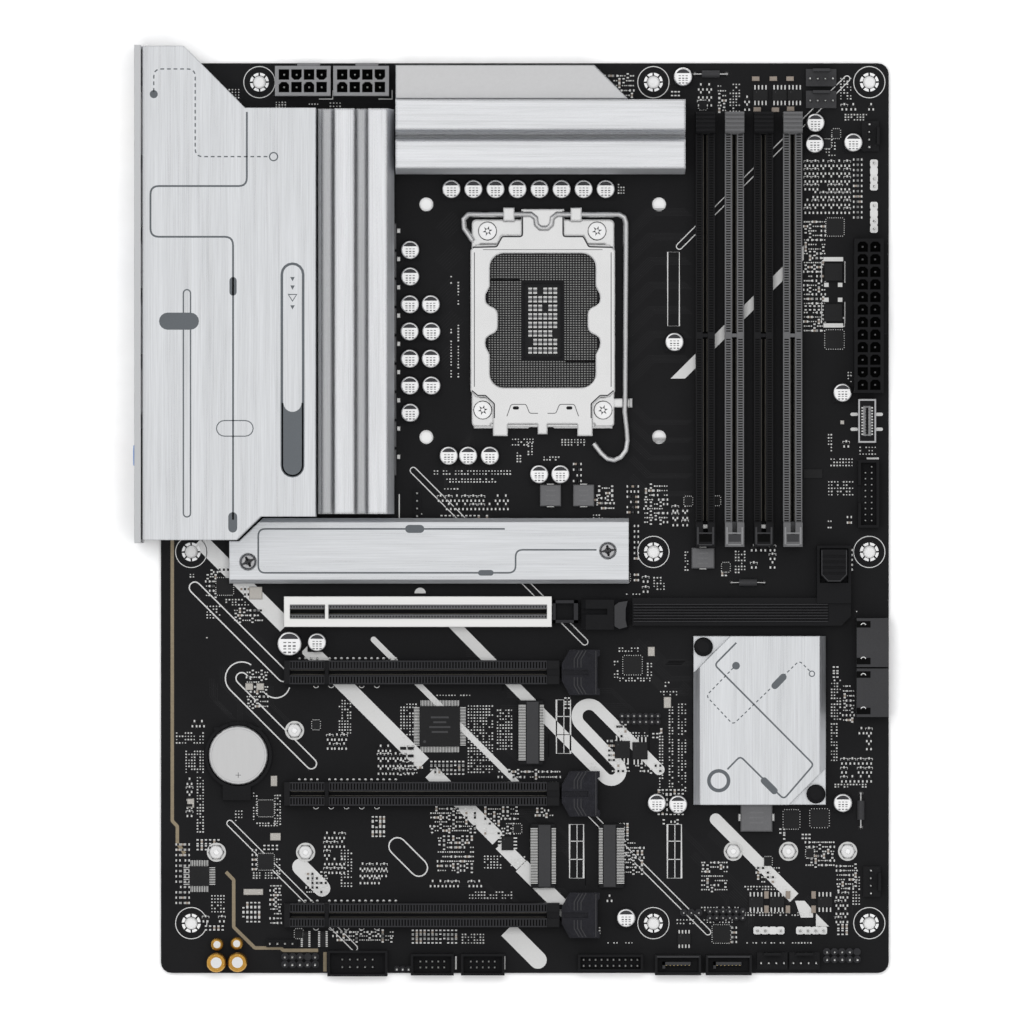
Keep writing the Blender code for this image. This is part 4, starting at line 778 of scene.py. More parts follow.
def make_cover_art():
    """Plain circuit-like lines engraved in the cover over the rear ports."""
    level = node_box("io_cover")[5]
    art = Piece("cover_engraving", slot="brushed_aluminium")
    low, high = level - 0.02, level + 0.03

    def line(path, width, cyclic=False):
        art.ribbon(path, width, low, high, "engraving", cyclic)

    def solid(outline, lift=0.0):
        art.slab(outline, low, high + lift, "engraving")

    dotted = rounded([(-1.6, 294.5), (-1.6, 302.1), (12.2, 302.1), (12.2, 272.9), (36.8, 272.9)], 2.6)
    for piece in dashes(dotted, 1.25, 0.95):
        line(piece, 0.42)
    solid(circle(-1.6, 293.7, 1.35, 20))
    line(circle(38.3, 272.9, 1.35, 24), 0.42, True)
    path = [(29.4, 287.8), (29.4, 263.1), (-2.7, 263.1), (-2.7, 246.2), (24.8, 246.2), (24.8, 152.0)]
    line(rounded(path, 2.8), 0.62)
    solid(pill(24.8, 231.6, 24.8, 227.8, 1.2))
    solid(pill(24.7, 153.0, 24.7, 149.2, 1.5))
    line(pill(21.9, 182.4, 28.9, 182.4, 2.6), 0.34, True)
    line(pill(9.45, 227.4, 9.45, 154.1, 1.2), 0.45, True)
    solid(pill(3.0, 218.1, 10.6, 218.1, 2.85), 0.004)
    line(pill(44.6, 233.7, 44.6, 170.0, 3.55), 0.85, True)
    shape = arc(44.6, 190.9, 3.0, 0, -180, 14)[::-1]
    solid([(41.0, 190.9)] + shape + [(48.2, 190.9)] + arc(44.6, 170.0, 3.6, 0, -180, 16))
    for y, size in ((232.2, 0.75), (229.4, 0.75), (222.8, 0.75)):
        solid([(44.6 - size, y + 0.6), (44.6, y - 0.8), (44.6 + size, y + 0.6)])
    line([(43.2, 227.0), (46.0, 227.0), (44.6, 224.8)], 0.3, True)
    art.build()


def make_plain_band():
    """The smooth band along the top heatsink's upper edge."""
    _, _, _, y1, _, level = node_box("vrm_heatsink_top")
    level -= 8.0
    band = Piece("top_heatsink_band", slot="brushed_aluminium")
    band.slab([(79.0, 292.8), (156.0, 292.8), (144.9, y1 - 0.2), (79.0, y1 - 0.2)], level - 0.02,
              level + 0.04,
              "matte_aluminium")
    band.build()


def make_m2_art():
    """Plain lines engraved in the drive heatsink, which lift off with it."""
    level = node_box("m2_heatsink")[5]
    art = Piece("drive_heatsink_engraving", body="m2_heatsink", slot="brushed_aluminium")
    low, high = level - 0.02, level + 0.03
    upper, lower = 148.9, 134.2
    path = [(115.3, upper), (32.8, upper), (32.8, lower), (118.9, lower), (118.9, 141.9), (146.0, 141.9)]
    art.ribbon(rounded(path, 2.4), 0.55, low, high, "engraving")
    art.slab(pill(83.3, upper, 87.0, upper, 1.35), low, high + 0.004, "engraving")
    art.slab(pill(107.3, lower, 110.6, lower, 0.95), low, high + 0.004, "engraving")
    art.build()
    # The dark cross and slot on each screw head are painted shade of its drive recess.
    recess = Piece("drive_screw_painted_recess_shade", body="m2_heatsink", slot="steel")
    for index, turn in ((1, 25.0), (2, 8.0)):
        x0, x1, y0, y1, _, high = node_box(f"m2_heatsink_screw_{index}")
        x, y = (x0 + x1) / 2, (y0 + y1) / 2
        for step in (0, 90):
            a = math.radians(turn + step)
            dx, dy = 1.5 * math.cos(a), 1.5 * math.sin(a)
            recess.slab(pill(x - dx, y - dy, x + dx, y + dy, 0.42, 4), high - 0.1,
                        high + 0.03 + 0.002 * step / 90,
                        "plastic_dark")
        a = math.radians(turn)
        dx, dy = 2.35 * math.cos(a), 2.35 * math.sin(a)
        recess.slab(pill(x - dx, y - dy, x + dx, y + dy, 0.3, 4), high - 0.1, high + 0.034, "plastic_slate")
    recess.build()


def make_chipset_art():
    """Plain lines engraved in the chipset heatsink."""
    x0, _, _, y1, _, level = node_box("chipset_heatsink")
    art = Piece("chipset_engraving", slot="brushed_aluminium")
    low, high = level - 0.02, level + 0.03

    def line(path, width):
        art.ribbon(path, width, low, high, "engraving")

    line(rounded([(x0 + 14.3, y1 - 2.2), (x0 + 7.0, y1 - 9.6), (x0 + 40.2, y1 - 43.0),
                  (x0 + 30.2, y1 - 54.6), (x0 + 15.6, y1 - 40.2), (x0 + 11.3, y1 - 44.6)], 1.4), 0.55)
    dotted = rounded([(x0 + 13.3, y1 - 10.6), (x0 + 4.2, y1 - 20.0), (x0 + 13.2, y1 - 29.6),
                      (x0 + 35.4, y1 - 8.2), (x0 + 39.0, y1 - 11.8)], 1.4)
    for piece in dashes(dotted, 1.0, 0.8):
        line(piece, 0.36)
    art.slab(circle(x0 + 14.2, y1 - 9.9, 1.3, 20), low, high, "engraving")
    art.slab(pill(x0 + 27.2, y1 - 16.6, x0 + 30.0, y1 - 13.7, 1.15), low, high + 0.004, "engraving")
    art.slab(pill(x0 + 23.6, y1 - 48.4, x0 + 27.0, y1 - 51.8, 1.15), low, high + 0.004, "engraving")
    art.ribbon(circle(x0 + 39.6, y1 - 12.6, 0.9, 20), 0.34, low, high, "engraving", True)
    art.ribbon(circle(x0 + 8.4, y1 - 48.4, 3.3, 32), 1.2, low, high, "engraving", True)
    art.build()


# ---------------------------------------------------------------- components

SMALL_CANS = (
    [(97.4 + 7.38 * i, 262.7) for i in range(8)]
    + [(83.6, 242.3), (83.6, 233.4), (83.5, 224.1), (90.5, 224.1), (83.4, 215.0), (90.7, 215.0)]
    + [(83.5, 205.9), (90.5, 205.9), (83.5, 196.9), (90.7, 196.9), (83.6, 187.8)]
    + [(96.5, 173.4), (103.0, 173.4), (110.3, 173.4), (126.8, 167.2), (133.9, 167.2)]
    + [(175.0, 300.3), (219.3, 284.9), (219.1, 277.9), (232.0, 278.3), (228.4, 194.5), (172.1, 211.5)]
    + [(52.4, 110.9), (166.2, 57.1), (173.3, 56.6), (228.5, 57.1), (155.9, 18.6)]
)
BIG_CANS = [(43.2, 110.4)]
GOLD_CANS = [(18.9, 9.7, 2.1), (25.5, 10.0, 2.1), (18.7, 3.7, 3.25), (25.8, 3.8, 3.25)]


def make_can(cans, x, y, radius, height):
    """A surface-mount aluminium capacitor on its moulded base."""
    base = SEAT - 0.25
    top = base + height
    half = radius + 0.12
    cut = radius * 0.45
    cans.slab([(x - half, y - half), (x + half, y - half), (x + half, y + half - cut),
               (x + half - cut, y + half),
               (x - half + cut, y + half), (x - half, y + half - cut)], TOP, base + 0.9, "plastic_black")
    rim = radius - 0.12
    cans.lathe(x, y, [(rim, base + 0.4), (radius, base + 0.8), (radius, base + 1.5), (rim - 0.1, base + 1.8),
                      (radius, base + 2.1), (radius, top - 0.5), (radius - 0.15, top - 0.15),
                      (radius - 0.45, top)], "can_aluminium")
    face = radius - 0.5
    cans.slab(circle(x, y, face), top - 0.1, top + 0.02, "can_top")
    half_angle = 62
    cans.slab(arc(x, y, face - 0.08, 90 - half_angle, 90 + half_angle, 12), top, top + 0.04, "can_mark")
    for column in (-0.42, 0.02, 0.46):
        for row in range(4):
            length = 0.10 + 0.06 * ((row + int(10 * column)) % 2)
            cx = x + column * face
            cy = y + (0.18 - 0.30 * row) * face
            cans.slab([(cx - 0.15 * face, cy - length * face), (cx + 0.13 * face, cy - length * face),
                       (cx + 0.13 * face, cy), (cx - 0.15 * face, cy)], top, top + 0.035, "can_print")


def make_cans():
    """The small and the large capacitors."""
    cans = Piece("capacitor_cans", slot="brushed_aluminium")
    for x, y in SMALL_CANS:
        make_can(cans, x, y, 3.12, 7.7)
    for x, y in BIG_CANS:
        make_can(cans, x, y, 4.05, 10.0)
    cans.build()
    gold = Piece("audio_capacitors", slot="gold_plate")
    for x, y, radius in GOLD_CANS:
        top = TOP + radius * 3.4
        gold.lathe(x, y, [(radius, TOP), (radius, TOP + 0.8), (radius - 0.2, TOP + 1.1), (radius, TOP + 1.5),
                          (radius, top - 0.6), (radius - 0.4, top - 0.1), (radius * 0.60, top)],
                   "gold_sleeve", 32)
        gold.slab(circle(x, y, radius * 0.56, 28), top - 0.1, top + 0.02, "plastic_white")
    gold.build()


def make_chokes():
    """Moulded power inductors, with the ones beside the left heatsink showing their ends."""
    chokes = Piece("power_inductors", slot="plastic_grey")
    for x, y, width, length, height in ((130.6, 160.1, 7.0, 7.2, 4.2), (141.7, 160.1, 7.0, 7.2, 4.2),
                                        (181.7, 139.1, 7.6, 6.9, 4.2), (199.6, 52.2, 10.6, 9.4, 5.0)):
        chokes.block(x, y, width, length, TOP + 0.1, TOP + height, "ferrite", 0.35)
        for side in (-1, 1):
            if width > 10:
                chokes.block(x + side * width / 2, y, 1.6, 2.6, TOP, TOP + 2.0, "solder_tin", 0.2)
            else:
                chokes.block(x, y + side * length / 2, 2.6, 0.9, TOP, TOP + 1.6, "solder_tin", 0.15)
        for i in range(3):
            chokes.box(x - 0.22 * width, x + 0.22 * width, y + (i - 1.15) * 1.7, y + (i - 1.15) * 1.7 + 0.45,
                       TOP + height - 0.05, TOP + height + 0.02, "can_print")
    for i in range(9):
        y = 248.8 - 9.47 * i
        chokes.block(75.4, y - 1.9, 7.0, 8.6, TOP + 0.1, TOP + 5.6, "ferrite", 0.3)
        chokes.block(79.7, y, 1.3, 1.7, TOP, TOP + 1.6, "solder_tin", 0.2)
    chokes.build()


def make_diodes():
    """Diodes lying flat on the board."""
    diodes = Piece("diodes", slot="plastic_dark")
    for x, y, length, upright in ((184.3, 301.3, 6.0, False), (196.8, 130.9, 6.0, False),
                                  (234.6, 54.6, 6.4, True)):
        for reach, radius, look in ((length / 2, 1.3, "plastic_slate"),
                                    (length / 2 + 2.6, 0.28, "solder_tin")):
            ring = []
            for offset in (-reach, reach):
                points = []
                for u, v in circle(0, 0, radius, 14):
                    z = TOP + 1.15 + v
                    points.append((x + u, y + offset, z) if upright else (x + offset, y - u, z))
                ring.append(points)
            diodes.rings(ring, look, smooth=True)
        for side in (-1, 1):
            reach = length / 2 + 2.4
            cx, cy = (x, y + side * reach) if upright else (x + side * reach, y)
            diodes.lathe(cx, cy, [(0.95, TOP), (0.8, TOP + 0.3), (0.35, TOP + 1.0)], "solder_tin", 16)
    diodes.build()


def quad_package(chips, x, y, body, reach, leads, marks=True, lead_width=0.22, height=1.5):
    """A square flat chip with leads on its four sides."""
    half = body / 2
    chips.block(x, y, body, body, TOP + 0.12, TOP + height, "chip_epoxy", 0.12)
    pitch = (body - 1.0) / (leads - 1)
    for i in range(leads):
        t = -body / 2 + 0.5 + pitch * i
        w = lead_width / 2
        for side in (-1, 1):
            a, b = sorted((side * half, side * (half + reach)))
            chips.box(x + a, x + b, y + t - w, y + t + w, TOP, TOP + 0.25, "solder_tin")
            chips.box(x + t - w, x + t + w, y + a, y + b, TOP, TOP + 0.25, "solder_tin")
    if marks:
        top = TOP + height
        for row in range(4):
            length = body * (0.22, 0.16, 0.26, 0.2)[row]
            cy = y + body * (0.20 - 0.12 * row)
            chips.box(x - length, x + length, cy, cy + body * 0.045, top - 0.02, top + 0.012, "chip_mark")
        chips.slab(circle(x - half * 0.75, y - half * 0.75, body * 0.035, 12), top - 0.02, top + 0.012,
                   "chip_mark")


def side_package(chips, x, y, width, length, leads, reach=0.9, upright=True, height=1.2, tint="chip_epoxy"):
    """A small chip with leads on two sides: above and below if upright, else left and right."""
    chips.block(x, y, width, length, TOP + 0.12, TOP + height, tint, 0.12)
    span = width if upright else length
    pitch = span / leads
    for i in range(leads):
        t = -span / 2 + pitch * (i + 0.5)
        w = min(0.22, pitch * 0.3)
        for side in (-1, 1):
            if upright:
                a, b = sorted((side * length / 2, side * (length / 2 + reach)))
                chips.box(x + t - w, x + t + w, y + a, y + b, TOP, TOP + 0.25, "solder_tin")
            else:
                a, b = sorted((side * width / 2, side * (width / 2 + reach)))
                chips.box(x + a, x + b, y + t - w, y + t + w, TOP, TOP + 0.25, "solder_tin")
    chips.slab(circle(x - width * 0.28, y + length * 0.28, 0.18, 10), TOP + height - 0.02,
               TOP + height + 0.01, "chip_mark")


def flat_package(chips, x, y, width, length, pads=6):
    """A leadless chip with tinned pads just showing at its sides."""
    chips.block(x, y, width, length, TOP + 0.08, TOP + 0.95, "chip_epoxy", 0.08)
    for i in range(pads):
        tx = -width / 2 + width * (i + 0.5) / pads
        ty = -length / 2 + length * (i + 0.5) / pads
        for side in (-1, 1):
            cy = y + side * (length / 2 + 0.12)
            chips.box(x + tx - 0.12, x + tx + 0.12, cy - 0.2, cy + 0.2, TOP, TOP + 0.12, "solder_tin")
            cx = x + side * (width / 2 + 0.12)
            chips.box(cx - 0.2, cx + 0.2, y + ty - 0.12, y + ty + 0.12, TOP, TOP + 0.12, "solder_tin")


def make_chips():
    """The packages that are placed one by one."""
    chips = Piece("chips", slot="chip_epoxy")
    quad_package(chips, 93.5, 82.7, 13.6, 1.9, 26)
    quad_package(chips, 12.9, 32.5, 6.6, 2.0, 11, marks=False)
    for x, y, size in ((158.1, 103.2, 6.2), (35.2, 55.2, 5.3), (35.2, 37.3, 5.3), (187.9, 13.1, 5.9),
                       (21.4, 129.6, 5.6), (226.0, 250.1, 5.8), (225.8, 212.4, 6.2)):
        flat_package(chips, x, y, size, size, 8)
    for x, y in ((154.7, 74.9), (160.6, 74.5)):
        side_package(chips, x, y, 5.1, 5.8, 4, 1.7)
    side_package(chips, 116.2, 43.5, 4.0, 4.6, 4, 1.2, upright=False)
    side_package(chips, 175.4, 11.4, 4.4, 3.6, 4, 1.2)
    for x in (199.5, 206.5, 222.6):
        side_package(chips, x, 23.8, 5.0, 3.6, 4, 1.5)
    for x in (201.0, 207.4, 212.5):
        side_package(chips, x, 294.3, 4.9, 3.7, 4, 1.5)
    for x, y, w, h in ((211.4, 51.5, 5.3, 6.2), (220.8, 51.9, 6.2, 6.0)):
        flat_package(chips, x, y, w, h, 7)
    for x, y in ((189.4, 136.0), (176.8, 158.2), (186.2, 158.3), (226.4, 281.4), (223.3, 278.0),
                 (181.7, 291.0),
                 (52.0, 83.2), (64.6, 58.0), (119.5, 48.4), (155.9, 132.6), (217.6, 40.2), (203.5, 37.4),
                 (46.2, 13.2)):
        flat_package(chips, x, y, 2.6, 3.0, 4)
    for x in (48.5, 54.3):
        side_package(chips, x, 11.4, 1.8, 5.4, 9, 0.7, upright=False)
    chips.block(218.6, 167.4, 6.4, 3.1, TOP, TOP + 0.7, "chip_epoxy", 0.1)
    chips.build()
    power = Piece("power_transistors", slot="chip_epoxy")
    for y, turn in ((235.0, 1), (221.4, -1)):
        x = 225.4
        power.block(x, y, 6.3, 6.1, TOP + 0.1, TOP + 2.3, "chip_epoxy", 0.25)
        power.box(x - 3.3, x + 3.3, y + turn * 4.3 - 0.7, y + turn * 4.3 + 0.7, TOP, TOP + 0.7, "solder_tin")
        for i in (-1, 1):
            power.box(x + 2.3 * i - 0.75, x + 2.3 * i + 0.75, y - turn * 4.3 - 0.7, y - turn * 4.3 + 0.7,
                      TOP, TOP + 0.45, "solder_tin")
            power.ribbon([(x + i * 3.9, y - 3.6), (x + i * 3.9, y + 3.6)], 0.2, SILK_LOW, SILK_TOP,
                         "silk_white")
    power.build()
    crystals = Piece("crystals_and_leds", slot="solder_tin")
    for x, y, w, h in ((164.4, 107.8, 2.4, 3.2), (169.8, 90.7, 2.5, 3.8), (37.9, 64.4, 2.3, 3.6),
                       (38.4, 45.7, 3.6, 2.6), (31.0, 27.2, 6.6, 2.1), (10.0, 57.0, 2.4, 3.2),
                       (29.6, 96.0, 2.6, 2.4), (33.3, 96.0, 2.6, 2.4), (31.8, 127.4, 4.4, 4.2),
                       (228.4, 184.6, 1.4, 1.4)):
        crystals.block(x, y, w, h, TOP, TOP + 0.9, "crystal_lid", 0.15)
    for x, y in ((199.4, 299.8), (205.3, 299.8), (210.9, 299.8), (199.9, 289.5), (206.0, 289.4),
                 (211.1, 289.7)):
        crystals.block(x, y, 2.5, 1.5, TOP, TOP + 1.2, "ceramic_tan", 0.1)
    for x in (203.0, 210.2, 218.8):
        for y in (21.4, 26.2):
            crystals.block(x, y, 1.5, 2.5, TOP, TOP + 1.2, "ceramic_tan", 0.1)
    crystals.build()


def make_standoffs():
    """Hexagonal standoffs that hold the far ends of drive cards."""
    posts = Piece("drive_standoffs", slot="nickel_plate")
    for x, y in ((44.8, 81.3), (18.6, 40.5), (48.5, 40.5), (191.9, 40.8), (210.4, 40.8), (230.2, 40.8)):
        posts.lathe(x, y, [(3.2, TOP), (3.2, TOP + 0.3)], "solder_tin", 28)
        posts.lathe(x, y, [(2.7, TOP), (2.7, TOP + 2.2), (2.45, TOP + 2.5)], "nickel_plate", 6)
        posts.lathe(x, y, [(2.3, TOP + 2.1), (2.3, TOP + 2.6), (2.15, TOP + 2.7), (1.55, TOP + 2.7),
                           (1.35, TOP + 2.55)], "nickel_plate", 28)
        posts.lathe(x, y, [(0.8, TOP + 2.4), (0.8, TOP + 2.74)], "can_top", 20)
    posts.build()


# Areas of small parts in mm: x0, x1, y0, y1, kind. A kind is a grid of dots, of resistors and
# capacitors, or of three-legged transistors.
SMALL_PARTS = (
    (30.6, 33.6, 290.6, 291.8, "dots"), (38.2, 42.2, 289.8, 292.3, "dots"),
    (49.3, 53.0, 290.6, 292.0, "dots"), (55.2, 60.6, 290.0, 292.2, "dots"),
    (22.4, 26.6, 293.0, 296.6, "dots"), (148.8, 158.6, 293.4, 301.6, "mixed"),
    (170.8, 174.2, 294.2, 295.4, "chips"), (179.6, 185.2, 290.4, 298.4, "legs"),
    (186.4, 189.6, 288.4, 298.2, "mixed"), (190.4, 194.4, 288.4, 298.4, "dots"),
    (195.0, 198.0, 289.0, 294.2, "legs"), (227.4, 231.8, 292.6, 300.4, "dots"),
    (227.6, 239.6, 288.8, 292.0, "legs"), (229.0, 237.0, 285.6, 288.2, "dots"),
    (222.6, 226.4, 273.6, 281.0, "dots"), (215.4, 231.4, 254.4, 272.8, "legs"),
    (232.2, 235.0, 252.4, 273.6, "chips"), (215.4, 222.8, 214.6, 252.6, "mixed"),
    (230.0, 231.8, 197.8, 201.8, "dots"), (223.4, 225.2, 174.6, 181.0, "dots"),
    (226.0, 231.0, 175.4, 179.4, "legs"), (224.2, 232.2, 169.6, 172.8, "dots"),
    (223.4, 232.4, 159.8, 165.2, "dots"), (223.4, 225.0, 148.8, 152.0, "dots"),
    (230.0, 231.6, 148.2, 153.8, "chips"), (233.9, 240.0, 173.4, 176.8, "dots"),
    (230.6, 231.6, 134.4, 142.6, "chips"), (231.6, 233.8, 120.6, 121.8, "dots"),
    (192.2, 196.2, 133.8, 141.8, "dots"), (197.2, 206.6, 135.4, 144.0, "legs"),
    (187.6, 190.0, 133.2, 134.6, "chips"), (153.0, 155.6, 261.0, 264.8, "dots"),
    (96.6, 98.0, 227.6, 234.0, "dots"), (99.0, 100.4, 223.8, 233.0, "dots"),
    (96.6, 98.0, 199.4, 216.2, "dots"), (99.0, 100.4, 199.4, 217.6, "dots"),
    (117.4, 125.2, 176.6, 179.4, "dots"), (122.6, 125.0, 173.4, 178.0, "dots"),
    (134.0, 142.4, 176.6, 179.2, "dots"), (119.0, 121.0, 171.0, 174.8, "dots"),
    (138.4, 140.8, 164.0, 171.6, "chips"), (128.0, 133.8, 171.6, 173.4, "dots"),
    (91.2, 117.6, 166.8, 168.8, "dots"), (95.4, 112.6, 164.2, 166.0, "dots"),
    (94.6, 100.0, 161.6, 163.0, "dots"), (92.4, 117.0, 155.0, 160.6, "legs"),
    (92.0, 110.0, 151.8, 153.6, "chips"), (85.6, 88.0, 152.4, 154.4, "dots"),
    (144.6, 146.6, 156.4, 160.8, "chips"), (146.2, 152.0, 155.0, 163.4, "mixed"),
    (144.6, 148.4, 152.0, 154.0, "dots"), (156.4, 160.0, 153.6, 164.0, "chips"),
    (161.8, 170.0, 150.4, 164.0, "mixed"), (170.8, 177.4, 149.8, 157.0, "legs"),
    (158.4, 160.4, 130.8, 150.8, "chips"), (161.0, 164.0, 127.0, 133.8, "legs"),
    (164.8, 169.2, 128.2, 133.0, "dots"), (175.4, 177.0, 134.6, 141.6, "dots"),
    (155.6, 161.0, 126.4, 127.6, "dots"), (15.0, 19.0, 125.8, 135.2, "mixed"),
    (21.4, 29.8, 123.0, 125.6, "dots"), (15.0, 20.2, 118.6, 123.4, "dots"),
    (24.4, 34.2, 117.4, 122.4, "mixed"), (26.4, 30.0, 126.0, 129.6, "chips"),
    (19.0, 23.2, 134.2, 136.2, "chips"), (9.4, 11.4, 132.4, 134.0, "dots"),
    (15.0, 16.6, 111.8, 113.0, "dots"), (28.6, 36.0, 88.6, 101.6, "mixed"), (4.8, 14.6, 76.6, 81.0, "dots"),
    (10.0, 15.0, 81.6, 85.6, "legs"), (8.0, 14.6, 66.8, 74.8, "dots"), (8.0, 11.2, 46.8, 65.6, "legs"),
    (11.8, 14.6, 46.8, 66.0, "dots"), (24.6, 27.6, 50.6, 54.8, "dots"), (30.6, 32.6, 51.0, 60.8, "dots"),
    (37.8, 40.4, 49.4, 60.0, "dots"), (31.8, 39.4, 49.0, 50.6, "dots"), (30.6, 39.6, 31.4, 34.0, "dots"),
    (30.6, 32.0, 34.0, 42.0, "chips"), (34.0, 39.6, 40.8, 43.4, "chips"), (38.4, 40.2, 31.8, 38.6, "dots"),
    (55.4, 62.6, 74.6, 80.6, "legs"), (59.4, 64.0, 80.0, 91.8, "dots"), (72.4, 85.0, 66.4, 76.6, "legs"),
    (54.4, 62.0, 33.0, 47.6, "legs"), (48.6, 56.0, 26.4, 34.0, "mixed"), (60.0, 64.4, 28.6, 41.6, "dots"),
    (70.4, 75.4, 45.6, 52.6, "chips"), (66.4, 76.0, 29.8, 37.0, "legs"), (80.0, 86.0, 78.4, 90.6, "dots"),
    (79.6, 87.8, 66.2, 71.6, "mixed"), (90.0, 102.0, 66.6, 71.0, "chips"),
    (102.6, 111.6, 66.8, 90.0, "dots"), (88.2, 104.0, 92.4, 93.8, "dots"),
    (112.4, 118.0, 74.6, 88.6, "dots"), (113.0, 134.0, 64.8, 68.4, "mixed"),
    (92.6, 105.0, 33.6, 46.0, "mixed"), (90.2, 106.0, 47.0, 55.8, "mixed"),
    (108.0, 120.0, 46.0, 55.8, "mixed"), (108.0, 114.4, 34.8, 39.6, "dots"),
    (117.0, 122.4, 35.6, 39.4, "dots"), (89.8, 108.0, 28.4, 31.6, "legs"),
    (103.0, 118.0, 24.6, 27.6, "dots"), (125.4, 131.6, 52.0, 55.4, "mixed"),
    (142.6, 146.0, 68.4, 70.8, "dots"), (135.0, 137.4, 88.4, 92.6, "chips"),
    (152.4, 156.4, 78.6, 83.4, "mixed"), (155.0, 163.6, 79.0, 81.0, "dots"),
    (164.4, 168.4, 78.8, 82.0, "chips"), (149.6, 152.6, 70.6, 78.6, "chips"),
    (151.0, 168.2, 66.8, 70.4, "mixed"), (166.8, 168.6, 59.8, 80.8, "dots"),
    (170.0, 172.0, 62.0, 89.6, "dots"), (173.0, 176.4, 60.6, 90.6, "dots"),
    (167.0, 173.4, 92.8, 94.8, "dots"), (168.6, 170.8, 95.6, 98.0, "dots"),
    (153.2, 160.4, 107.4, 109.4, "dots"), (151.6, 153.6, 98.6, 106.0, "dots"),
    (153.4, 164.4, 97.6, 99.2, "dots"), (162.6, 165.0, 99.4, 104.2, "dots"),
    (166.2, 175.6, 53.0, 61.6, "chips"), (167.8, 174.0, 49.6, 51.8, "mixed"),
    (153.4, 157.0, 44.4, 50.4, "chips"), (153.4, 162.0, 33.0, 44.4, "mixed"),
    (148.8, 152.0, 24.0, 28.2, "legs"), (149.4, 158.4, 9.6, 10.6, "dots"),
    (143.4, 147.6, 12.8, 16.6, "dots"), (224.4, 228.2, 84.6, 98.6, "dots"),
    (225.0, 227.4, 98.8, 103.0, "chips"), (228.6, 232.4, 84.0, 97.0, "mixed"),
    (224.4, 227.0, 70.8, 84.0, "dots"), (233.6, 238.6, 74.6, 82.6, "legs"),
    (227.6, 238.8, 63.6, 72.6, "legs"), (225.6, 236.8, 62.0, 63.6, "dots"),
    (214.6, 218.0, 44.6, 47.0, "chips"), (207.0, 209.6, 44.6, 48.6, "chips"),
    (216.0, 225.8, 35.4, 44.6, "mixed"), (226.4, 233.6, 27.6, 36.6, "mixed"),
    (226.0, 230.6, 16.6, 27.6, "legs"), (231.6, 234.6, 22.6, 32.6, "dots"),
    (195.4, 218.0, 19.0, 20.6, "dots"), (195.4, 210.0, 27.6, 29.4, "dots"),
    (199.4, 207.6, 29.8, 36.0, "mixed"), (196.0, 219.4, 9.4, 10.8, "dots"),
    (225.0, 230.6, 12.6, 16.6, "chips"), (180.6, 192.0, 16.6, 18.2, "dots"),
    (180.8, 194.0, 20.6, 22.4, "dots"), (190.0, 193.0, 9.6, 16.0, "chips"),
    (181.0, 190.0, 27.2, 37.8, "mixed"), (172.6, 179.0, 16.0, 18.4, "dots"),
    (5.0, 9.6, 22.6, 44.0, "chips"), (11.6, 20.0, 41.0, 45.0, "chips"), (16.6, 21.6, 20.0, 26.4, "dots"),
    (13.6, 21.8, 17.0, 19.4, "legs"), (14.4, 21.4, 14.2, 16.0, "chips"), (36.6, 40.4, 16.0, 30.0, "mixed"),
    (27.0, 33.6, 17.0, 23.8, "chips"), (57.6, 78.0, 10.4, 14.4, "mixed"), (83.8, 99.6, 10.0, 14.4, "chips"),
    (100.6, 108.6, 9.6, 13.4, "dots"), (41.4, 47.6, 16.6, 17.8, "dots"),
)


